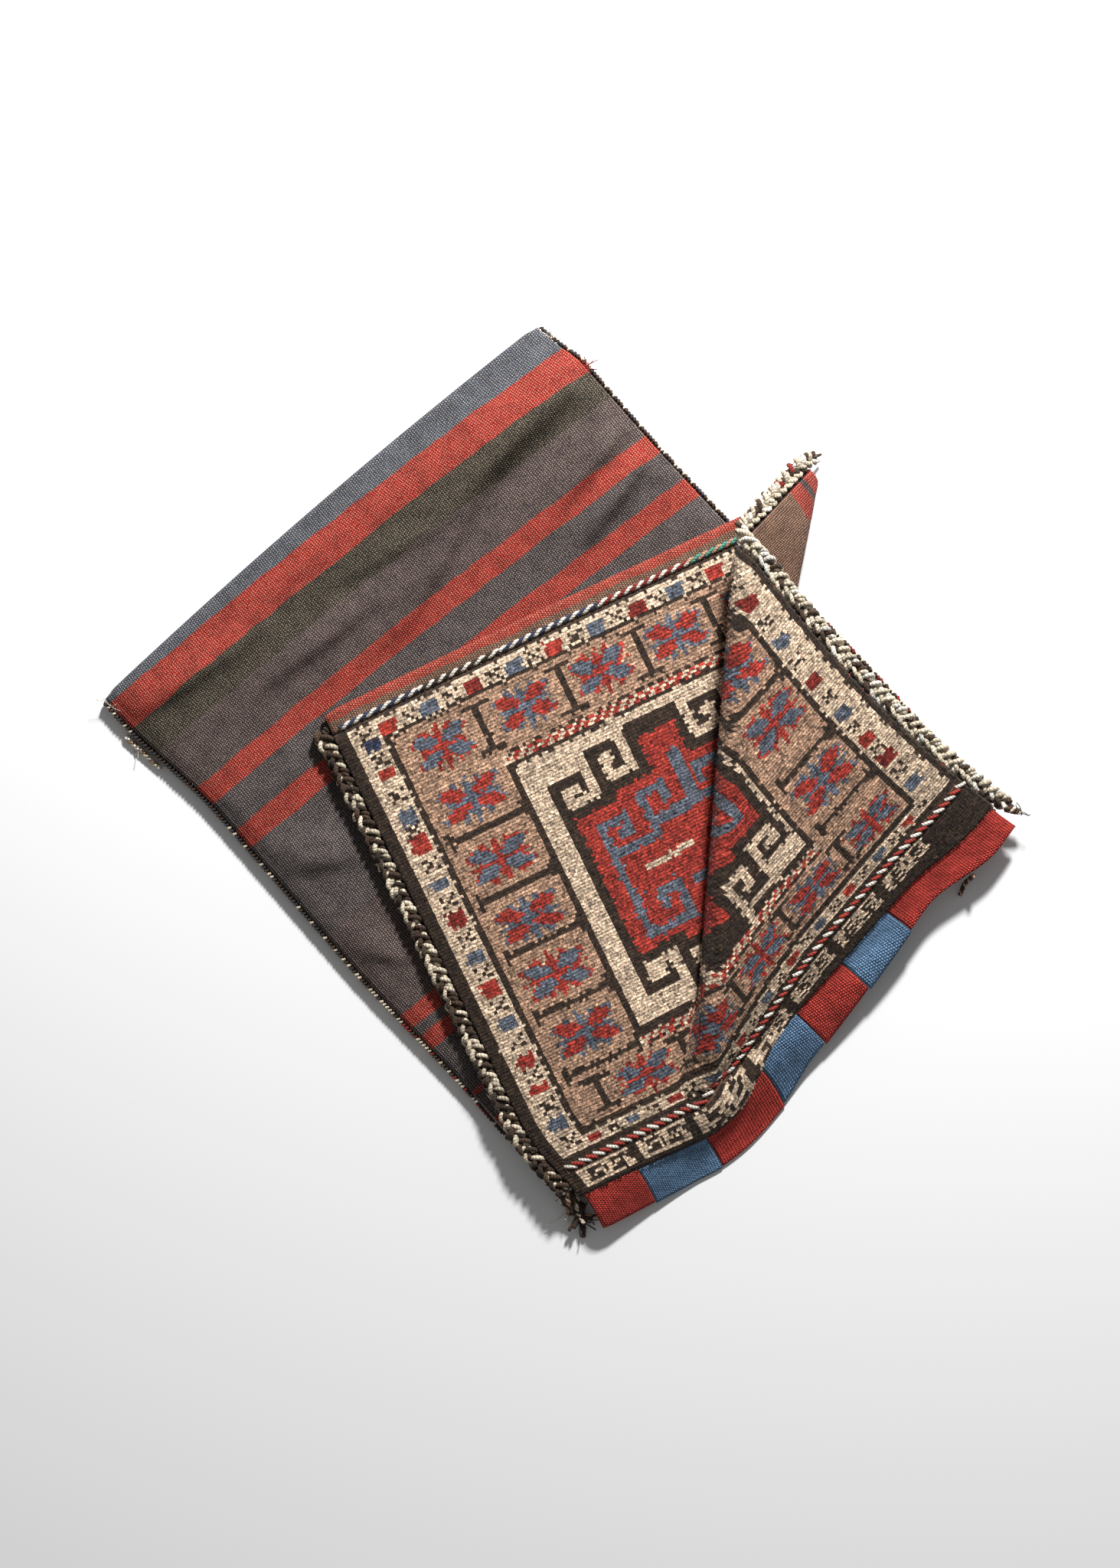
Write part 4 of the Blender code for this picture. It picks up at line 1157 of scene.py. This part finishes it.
# %% Blocks of the mouth strip
BLOCK_EDGES = (0.004, 0.062, 0.139, 0.203, 0.257, 0.316, 0.376, 0.503)
SLIT = 0.0003
BLOCK_STEP = 0.003
STRIP_START = 0.003
BLOCK_PROUD = (0.0, 0.0015, 0.0005, -0.0020, -0.0005, 0.0010, 0.0)


def mouth_strip(name, surface):
    points, faces, colours, uv, first = [], [], [], [], 0
    for index, proud in enumerate(BLOCK_PROUD):
        left, right = BLOCK_EDGES[index], BLOCK_EDGES[index + 1]
        p = np.linspace(left + SLIT, right - SLIT, int((right - left) / BLOCK_STEP) + 1)
        depth = np.linspace(PILE_END + STRIP_START, POUCH_LENGTH + proud, 14)
        rows = [surface(p, q) for q in depth]
        place = np.array([np.stack(np.broadcast_arrays(p, q), -1) for q in depth])
        quads = closed_faces(len(depth), len(p))
        points += [np.array([row[layer] for row in rows]).reshape(-1, 3) for layer in (0, 1)]
        faces.append(quads + first)
        colours.append(np.tile(INK["strip_blue" if index % 2 else "strip_red"], (len(quads), 1)))
        uv += [place.reshape(-1, 2)] * 2
        first += 2 * len(depth) * len(p)
    points, faces, colours, uv = (np.concatenate(part) for part in (points, faces, colours, uv))
    return new_piece(name, points, faces.tolist(), colours, uv, slit_material)


upper_strip = mouth_strip("upper_mouth_strip", upper_face_row)
lower_strip = mouth_strip("lower_mouth_strip", lower_face_row)
print("mouth strips made")

# %% [markdown]
# ## Cords as real strands
#
# A bump map can't give a braid its notched outline. Each strand is a thin tube along its own
# curve, and many tubes are kept in one mesh. A braid is three strands that swing from side to
# side a third of a turn apart; each strand is two plies that twist round each other.

# %% Tubes


class Strands:
    """Many tubes gathered into one mesh."""

    def __init__(self):
        self.points, self.faces, self.colours, self.uv, self.count = [], [], [], [], 0

    def add(self, path, radius, colour, sides=6):
        """A tube along a path. colour is one dye or one for every step."""
        path = np.asarray(path, float)
        steps = len(path)
        radius = np.broadcast_to(radius, steps)
        along = unit(np.gradient(path, axis=0))
        guide = np.array([0.0, 0.0, 1.0]) + 0.31 * np.roll(along, 1, axis=-1)
        out = unit(np.cross(along, guide))
        up = np.cross(out, along)
        angle = 2 * math.pi * np.arange(sides) / sides
        ring = out[:, None] * np.cos(angle)[:, None] + up[:, None] * np.sin(angle)[:, None]
        points = path[:, None] + ring * radius[:, None, None]
        travel = travelled(path)
        uv = np.stack(np.broadcast_arrays(angle / (2 * math.pi), travel[:, None]), -1)
        i, j = np.meshgrid(np.arange(steps - 1), np.arange(sides), indexing="ij")
        a, b = (i * sides + j).ravel(), (i * sides + (j + 1) % sides).ravel()
        quads = self.count + np.stack([a, b, b + sides, a + sides], -1)
        ends = np.arange(sides)
        caps = [self.count + ends[::-1], self.count + (steps - 1) * sides + ends]
        colour = np.broadcast_to(np.asarray(colour, float), (steps, 3))
        self.points.append(points.reshape(-1, 3))
        self.uv.append(uv.reshape(-1, 2))
        self.faces += quads.tolist() + [list(map(int, cap)) for cap in caps]
        self.colours += [np.repeat(colour[:-1], sides, axis=0), colour[[0, -1]]]
        self.count += steps * sides

    def piece(self, name):
        return new_piece(
            name,
            np.concatenate(self.points),
            self.faces,
            np.concatenate(self.colours),
            np.concatenate(self.uv),
            cord_material,
        )


def fine(points, steps):
    """A smooth path through a few points."""
    points = np.asarray(points, float)
    at = np.linspace(0, len(points) - 1, steps)
    path = np.stack([np.interp(at, np.arange(len(points)), points[:, k]) for k in range(3)], -1)
    for _ in range(max(2, steps // len(points) // 2)):
        path[1:-1] = softened(path)
    return path


print("strand helpers ready")

# %% [markdown]
# ## The braided side seams of the upper pouch
#
# The left seam is plaited from ivory and brown yarn together, the right one almost wholly from
# ivory, with a few red stitches where it was mended near the corner.

# %% Two seam braids
PLAIT_PITCH = 0.0255
PLAIT_SWING = 0.0052
PLAIT_DEPTH = 0.0034
PLY_RADIUS = 0.00205
PLY_TWIST = 0.0210


def free_end(share):
    """The middle of the right braid's free end: share 0 at the corner and 1 at the tip."""
    edge, q = np.array([WIDTH]), np.array([BRAID_START])
    across, down, outward = (axis[0] for axis in upper_axes(edge, q))
    start = upper_middle(edge, q)[0] + outward * (PILE_THICKNESS - KILIM_THICKNESS) / 2
    start = start + across * (BRAID_BREADTH / 2 + SEAM_TIP_CLEAR)
    reach = BRAID_FREE_END * share
    aside = turned(UPPER_TURN - math.pi / 4)
    hook = 0.25 * reach * share
    return start - down * reach + np.array([aside[0] * hook, aside[1] * hook, -0.3 * reach * share])


def seam_line(at_right, steps):
    """Middle, across, outward and distance along one side seam of the upper pouch."""
    edge = np.array([WIDTH if at_right else 0.0])
    side = 1.0 if at_right else -1.0
    end = POUCH_LENGTH - BRAID_SHORT if at_right else BACK_MOUTH
    middle, acrosses, outs = [], [], []
    for q in np.linspace(BRAID_START, end, steps):
        across, _, outward = (axis[0] for axis in upper_axes(edge, np.array([q])))
        clear = mix(SEAM_TIP_CLEAR, SEAM_CLEAR, float(ease(q / SEAM_TIP_RUN)))
        lean = outward * (PILE_THICKNESS - KILIM_THICKNESS) / 2
        base = upper_middle(edge, np.array([q]))[0]
        middle.append(base + lean + across * side * (BRAID_BREADTH / 2 + clear))
        acrosses.append(across * side)
        outs.append(outward)
    if at_right:
        for share in np.linspace(0.06, 1.0, 18):
            middle.insert(0, free_end(share))
            acrosses.insert(0, acrosses[0])
            outs.insert(0, outs[0])
    middle, acrosses, outs = np.array(middle), np.array(acrosses), np.array(outs)
    for _ in range(40 if at_right else 2):
        middle[1:-1] = softened(middle)
        outs[1:-1] = unit(softened(outs))
        acrosses[1:-1] = unit(softened(acrosses))
    return middle, acrosses, outs, travelled(middle)


def seam_braid(name, at_right, dyes):
    """Every stitch that shows takes its dye from dyes: each is one half swing of a strand."""
    middle, across, out, travel = seam_line(at_right, 420)
    braid = Strands()
    for strand in range(3):
        phase = 2 * math.pi * (travel / PLAIT_PITCH + strand / 3)
        swing = PLAIT_SWING * np.sin(phase)
        depth = PLAIT_DEPTH * np.sin(2 * phase)
        path = middle + across * swing[:, None] + out * depth[:, None]
        along = unit(np.gradient(path, axis=0))
        beside = unit(np.cross(along, out))
        above = np.cross(beside, along)
        stitch = (phase / math.pi + 0.5).astype(int)
        for ply in range(2):
            twist = 2 * math.pi * travel / PLY_TWIST + math.pi * ply
            offset = beside * np.cos(twist)[:, None] + above * np.sin(twist)[:, None]
            picked = rng.integers(0, len(dyes), stitch.max() + 1)
            shade = rng.uniform(0.72, 1.12, stitch.max() + 1) * (1.0 - 0.12 * ply)
            colour = np.array([INK[dyes[pick]] for pick in picked])[stitch] * shade[stitch][:, None]
            colour = colour * rng.normal(1.0, 0.06, (len(travel), 1))
            if at_right:
                red = ((travel > 0.028) & (travel < 0.035)) | ((travel > 0.052) & (travel < 0.056))
                colour[red & (strand < 2)] = INK["kilim_red"]
            width = PLY_RADIUS * (1.0 + 0.10 * np.sin(travel * 90 + 2.1 * strand + ply))
            braid.add(path + offset * PLY_RADIUS * 0.8, width, colour, sides=6)
    piece = braid.piece(name)
    return piece


left_braid = seam_braid(
    "left_seam_braid", False, ("cord_ivory", "cord_brown", "cord_ivory", "dark", "cord_brown")
)
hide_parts("upper_left_braid")
right_braid = seam_braid(
    "right_seam_braid", True, ("cord_ivory", "white", "cord_ivory", "cord_ivory", "cord_brown")
)
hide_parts("upper_right_braid")
print("braids made")

# %% [markdown]
# ## The overcast edges of the lower pouch
#
# The lower sides are sewn with plain over-and-over stitches. Each stitch is one loop round both
# cloth edges, leaning a little, and its dye follows the worn yarn of the original: mostly dark,
# ivory where the edge was sewn again near the mouth, and red beside the red stripes.

# %% Stitches over an edge
STITCH_PITCH = 0.0036
STITCH_RADIUS = 0.0011
CORE_RADIUS = 0.0013


def stitch_dye(distance, at_right, chance):
    near_mouth = 0.36 < distance < 0.50
    if not at_right and near_mouth and chance < 0.55:
        return "cord_ivory"
    if near_mouth and chance > 0.8:
        return "kilim_red"
    if chance < (0.30 if at_right else 0.22):
        return "cord_ivory"
    return "cord_brown" if chance < 0.8 else "charcoal"


def overcast(name, node, at_right):
    edge = np.array([WIDTH if at_right else 0.0])
    side = 1.0 if at_right else -1.0
    half = OVERCAST_BREADTH / 2
    stitches = Strands()
    core = []
    for distance in np.arange(0.0, lower_length(), STITCH_PITCH):
        outer, inner = lower_back_row(edge, distance)
        (x, y, top), (_, _, under) = outer[0], inner[0]
        closed = 1.0 - float(ease((distance - LOWER_FACE_LENGTH) / SEAM_RUN_OUT + 1.0))
        bottom = mix(under, PILE_THICKNESS - face_thickness(distance), closed)
        height = (top - bottom) / 2
        centre = np.array([x + side * (half + SEAM_CLEAR * 0.2), y, (top + bottom) / 2])
        core.append(centre)
        turn = np.linspace(-2.5, 2.5, 11)
        lean = STITCH_PITCH * 0.9 * turn / 5
        loop = centre + np.stack(
            [
                side * (half - STITCH_RADIUS * 0.8) * np.cos(turn),
                -lean,
                (height - STITCH_RADIUS * 0.6) * np.sin(turn),
            ],
            -1,
        )
        chance = rng.random()
        colour = INK[stitch_dye(distance, at_right, chance)] * rng.uniform(0.8, 1.15)
        stitches.add(loop, STITCH_RADIUS * rng.uniform(0.85, 1.15), colour, sides=5)
    stitches.add(fine(core, 160), CORE_RADIUS, INK["cord_brown"], sides=6)
    piece = stitches.piece(name)
    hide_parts(node)


overcast("left_overcast_edge", "lower_left_overcast", False)
overcast("right_overcast_edge", "lower_right_overcast", True)
print("overcast edges made")

# %% [markdown]
# ## Sewn and twined lines on the face
#
# Where the plain band meets the pile, two wefts were twined round each other in changing dyes.
# Near the mouth a second line of slanting stitches runs between the guard and the row of hooks.
# Both stand up from the cloth, so both are strands.

# %% Twined line and slanting stitches
TWINE_AT = PLAIN_BAND - 0.0035
THICK_YARN = 0.0016
STITCH_ARCH = np.array([-0.6, 0.7, 1.2, 1.2, 0.7, -0.6]) * 1e-3


def face_path(p, q, lift):
    """Points on the upper pouch's pile face, lifted off it."""
    points = []
    for at_p, at_q, raised in zip(*np.broadcast_arrays(p, q, lift)):
        place, down = np.array([at_p]), np.array([at_q])
        outer = upper_face_row(place, float(at_q))[0][0]
        points.append(outer + upper_axes(place, down)[2][0] * raised)
    return np.array(points)


def twined_line():
    twine = Strands()
    p = np.linspace(0.008, WIDTH - 0.004, 420)
    for ply in range(2):
        twist = 2 * math.pi * (p / 0.0125 + 0.15 * np.sin(p * 61)) + math.pi * ply
        path = face_path(p, TWINE_AT + 0.0014 * np.cos(twist), 0.0007 + 0.0012 * np.sin(twist))
        left = INK["navy"] if ply else INK["white"]
        colour = np.tile(left, (len(p), 1))
        colour[(p > 0.085) & (p < 0.165)] = INK["white"] if ply else INK["dark"]
        colour[(p > 0.262) & (p < 0.352)] = INK["deep_red"] if ply else INK["white"]
        colour[p > 0.352] = INK["turquoise"] if ply else INK["camel"]
        colour[p > 0.400] = INK["pile_red"] if ply else INK["dark"]
        colour = colour * rng.uniform(0.8, 1.15, (len(p), 1))
        twine.add(path, THICK_YARN, colour, sides=5)
    piece = twine.piece("twined_line")
    return piece


def slanting_stitches():
    line = Strands()
    for index, p in enumerate(np.arange(0.008, WIDTH - 0.008, 0.0072)):
        at_q = np.linspace(0.4495, 0.4545, 6) - 0.0155 * ease((p - 0.17) / 0.16)
        path = face_path(np.linspace(p, p + 0.0088, 6), at_q, STITCH_ARCH)
        dye = "pile_red" if index % 2 else "white"
        radius = THICK_YARN * rng.uniform(0.9, 1.1)
        line.add(path, radius, INK[dye] * rng.uniform(0.85, 1.1), sides=6)
    piece = line.piece("slanting_stitches")
    return piece


twine_piece = twined_line()
stitch_piece = slanting_stitches()

# %% [markdown]
# ## Loose yarns
#
# Wear has left a bunch of broken yarns at the mouth's left corner, cord ends, a knot, a worn lump
# of mending thread and single hairs of wool. They are few and small, and they tell of an old
# piece.

# %% Yarn ends


def beside_edge(p, q, out, along, height=None):
    at_p, at_q = np.array([p]), np.array([q])
    across, down = (axis[0] for axis in upper_axes(at_p, at_q)[:2])
    side = 1.0 if p > WIDTH / 2 else -1.0
    pile_side, wrong = (layer[0] for layer in upper_face_row(at_p, q))
    point = (pile_side + wrong) / 2 + across * side * out + down * along
    return np.array([point[0], point[1], point[2] if height is None else height])


def wound(strands, points, radius, dyes, sides=6, plies=3, taper=0.75, twist=0.010):
    """A short cord of several twisted yarns through a few points."""
    path = fine(points, 36)
    path[:, 2] = np.maximum(path[:, 2], radius * 1.05)
    travel = travelled(path)
    along = unit(np.gradient(path, axis=0))
    beside = unit(np.cross(along, np.array([0.0, 0.0, 1.0]) + 0.01))
    above = np.cross(beside, along)
    narrow = np.linspace(1.0, taper, len(path))[:, None]
    for ply in range(plies):
        angle = (2 * math.pi * (travel / twist + ply / plies))[:, None]
        offset = (beside * np.cos(angle) + above * np.sin(angle)) * radius * 0.5 * narrow
        dye = INK[dyes[ply % len(dyes)]] * rng.uniform(0.85, 1.15)
        strands.add(path + offset, radius * 0.52 * narrow[:, 0], dye, sides)


def hairs(strands, centre, count, length, dye, radius=0.00028, lean=(0.0, 0.0, 0.0)):
    """Single fibres that stand out from a place in all directions near the floor."""
    for _ in range(count):
        way = unit(rng.normal(0.0, 1.0, 3) * np.array([1.0, 1.0, 0.35]) + np.array(lean))
        bend = rng.normal(0.0, 0.35, 3) * np.array([1.0, 1.0, 0.4])
        reach = length * rng.uniform(0.5, 1.0)
        share = np.linspace(0.0, 1.0, 8)[:, None]
        path = np.asarray(centre) + (way * share + bend * share**2) * reach
        path[:, 2] = np.maximum(path[:, 2], radius + 0.0003)
        strands.add(path, radius, INK[dye] * rng.uniform(0.85, 1.1), sides=4)


def yarn_piece(strands, name, node=None):
    """The piece made of these strands and the solid that it replaces."""
    piece = strands.piece(name)
    if node:
        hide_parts(node)
    return piece


corner = Strands()
bunch_start = BACK_MOUTH + TOUCH * 6
bunch_out = BUNCH_RADIUS + SEAM_CLEAR
low = BUNCH_RADIUS + TOUCH
bunch_dyes = ("cord_brown", "dark", "cord_ivory", "dark")
bunch_dyes += ("camel", "cord_brown", "cord_ivory", "dark")
for index, dye in enumerate(bunch_dyes):
    spin = 2 * math.pi * index / len(bunch_dyes)
    ring = np.array([math.cos(spin), math.sin(spin)]) * 0.0062
    bend = rng.uniform(0.8, 1.5)
    stages = (
        (-0.012, ring[0] * 0.6 - 0.004, ring[1] + 0.008),
        (0.006, ring[1] * bend, 0.004 - ring[0]),
        (0.018, -ring[0] * bend, 0.001 - ring[1] * 0.7),
        (0.031, ring[0] * 1.7 * bend, ring[1] * 0.6),
    )
    points = [
        beside_edge(0.0, bunch_start + on, bunch_out + out, 0.0, low + up) for on, out, up in stages
    ]
    wound(corner, points, 0.0034, (dye, dye, "dark"), plies=3, taper=0.55)
bunch_hairs = (
    (0.016, 0.006, 0.004, 24, 0.018, "white", 0.00028),
    (0.028, 0.0, 0.005, 26, 0.014, "dark", 0.0005),
    (0.004, 0.0, 0.010, 14, 0.012, "camel", 0.0005),
)
for on, out, up, count, length, dye, radius in bunch_hairs:
    place = beside_edge(0.0, bunch_start + on, bunch_out + out, 0.0, up)
    hairs(corner, place, count, length, dye, radius)
yarn_piece(corner, "corner_yarns", "corner_yarn_bunch")

ends = Strands()
cord_at = bunch_start + BUNCH_LENGTH + TOUCH * 6
floor = CORD_END_RADIUS + TOUCH
wound(
    ends,
    [
        beside_edge(0.0, cord_at, bunch_out, 0.0, floor + 0.002),
        beside_edge(0.0, cord_at, bunch_out + 0.002, CORD_END_LENGTH / 2, floor),
        beside_edge(0.0, cord_at, bunch_out + 0.006, CORD_END_LENGTH, floor),
    ],
    CORD_END_RADIUS,
    ("dark", "cord_brown"),
)
yarn_piece(ends, "loose_cord_end", "corner_cord_end")

closing = Strands()
clear = CORD_END_RADIUS + SEAM_CLEAR
closing_points = [
    beside_edge(CLOSURE_CORD_AT, POUCH_LENGTH, 0.0, clear),
    beside_edge(CLOSURE_CORD_AT - 0.010, POUCH_LENGTH, 0.0, clear + 0.003, floor + 0.004),
    beside_edge(CLOSURE_CORD_AT - 0.020, POUCH_LENGTH, 0.0, clear + 0.010, floor),
]
wound(closing, closing_points, CORD_END_RADIUS, ("dark", "camel", "cord_brown"))
yarn_piece(closing, "closing_cord_stub", "closure_cord")

knot = Strands()
knot_out = KNOT_RADIUS + SEAM_CLEAR
knot_at = POUCH_LENGTH - BRAID_SHORT + TOUCH * 6
knot_points = [
    beside_edge(WIDTH, knot_at, knot_out, 0.0),
    beside_edge(WIDTH, knot_at + KNOT_LENGTH / 2, knot_out + 0.001, 0.0),
    beside_edge(WIDTH, knot_at + KNOT_LENGTH, knot_out + 0.003, 0.0),
]
wound(knot, knot_points, KNOT_RADIUS, ("cord_brown", "dark", "cord_ivory"), taper=0.5, twist=0.008)
hairs(knot, knot_points[-1], 8, 0.010, "cord_brown", 0.0004, lean=(0.5, -0.5, -0.2))
yarn_piece(knot, "corner_knot", "mouth_corner_knot")

tail = Strands()
tail_points = [free_end(share) for share in (1.0, 1.12, 1.26)]
wound(tail, tail_points, TAIL_RADIUS * 1.4, ("dark", "cord_brown", "dark"), taper=0.6)
yarn_piece(tail, "yarn_tail", "tip_tail")

mend = Strands()
mend_points = []
for share in (0.0, 0.35, 0.7, 1.0):
    seam = lower_back_row(np.array([0.0]), THREAD_START + THREAD_LENGTH * share)[0][0]
    away = SEAM_CLEAR + OVERCAST_BREADTH + TOUCH + THREAD_RADIUS
    mend_points.append((seam[0] - away, seam[1], THREAD_RADIUS + TOUCH))
wound(mend, mend_points, THREAD_RADIUS, ("white", "cord_ivory", "camel"), taper=0.7, twist=0.013)
hairs(mend, mend_points[1], 10, 0.010, "white")
yarn_piece(mend, "mending_lump", "seam_mending_thread")

wisps = Strands()
wisp_places = (
    (0.0, 0.006, 12, 0.016, "white", 0.00022, (0.0, 0.0, 0.0)),
    (WIDTH, 0.012, 14, 0.010, "white", 0.00035, (0.6, 0.3, 0.0)),
    (WIDTH, 0.052, 14, 0.008, "kilim_red", 0.0004, (0.8, 0.0, 0.0)),
)
for p, distance, count, length, dye, radius, lean in wisp_places:
    hairs(wisps, lower_back_row(np.array([p]), distance)[0][0], count, length, dye, radius, lean)
yarn_piece(wisps, "loose_wisps")
print("loose yarns made")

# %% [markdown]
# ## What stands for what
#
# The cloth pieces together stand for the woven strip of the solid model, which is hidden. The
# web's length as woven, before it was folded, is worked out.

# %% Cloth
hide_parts("woven_strip")
web_length = web[-1][0] - web[0][0]

# %% [markdown]
# ## Camera, floor and light
#
# The bag is seen from straight above, turned a little. A long lens far away keeps the pleat from
# leaning. One large soft lamp from the top of the picture brings out the relief, and a weak sky
# fills the shadows. The floor is plain and pale.

# %% Camera
CAMERA_HEIGHT = 4.0
FRAME_TALL = 1.393
VIEW_CENTRE = (-0.0543, 0.0122)
UP = np.array([0.656, 0.755, 0.0])
camera_data = bpy.data.cameras.new("camera")
camera = bpy.data.objects.new("camera", camera_data)
bpy.context.scene.collection.objects.link(camera)
camera_data.sensor_fit = "VERTICAL"
camera_data.sensor_height = 24.0
camera_data.lens = 24.0 * (CAMERA_HEIGHT - 0.02) / FRAME_TALL
camera_data.clip_end = 50.0
camera.location = (*VIEW_CENTRE, CAMERA_HEIGHT)
camera.rotation_euler = (0.0, 0.0, math.atan2(-UP[0], UP[1]))
bpy.context.scene.camera = camera
print("lens", round(camera_data.lens, 1))

# %% Floor
floor_mesh = bpy.data.meshes.new("floor")
floor_mesh.from_pydata([(-6, -6, 0), (6, -6, 0), (6, 6, 0), (-6, 6, 0)], [], [(0, 1, 2, 3)])
floor_piece = bpy.data.objects.new("floor", floor_mesh)
bpy.context.scene.collection.objects.link(floor_piece)
pale = Finish("pale_floor", roughness=0.9)
pale.shader.inputs["Base Color"].default_value = (0.86, 0.86, 0.86, 1.0)
floor_mesh.materials.append(pale.material)

# %% Light
SKY_STRENGTH = 0.21
KEY_POWER = 113.0
KEY_SIZE = 0.28
RIGHT = np.array([0.755, -0.656, 0.0])
KEY_PLACE = (UP * 0.97 + RIGHT * 0.22) * 1.95 + np.array([0.0, 0.0, 1.48])
world = bpy.data.worlds.new("studio")
bpy.context.scene.world = world
world.use_nodes = True
sky = world.node_tree.nodes["Background"]
sky.inputs["Color"].default_value = (1.0, 1.0, 1.0, 1.0)
sky.inputs["Strength"].default_value = SKY_STRENGTH

lamp_data = bpy.data.lights.new("key", "AREA")
lamp_data.energy, lamp_data.size = KEY_POWER, KEY_SIZE
lamp = bpy.data.objects.new("key", lamp_data)
bpy.context.scene.collection.objects.link(lamp)
lamp.location = KEY_PLACE
way = -KEY_PLACE / np.linalg.norm(KEY_PLACE)
lamp.rotation_euler = (math.acos(-way[2]), 0.0, math.atan2(-way[0], way[1]))
print("lamp at", np.round(KEY_PLACE, 2))

# %% Finish
bpy.context.scene.view_settings.view_transform = "Standard"
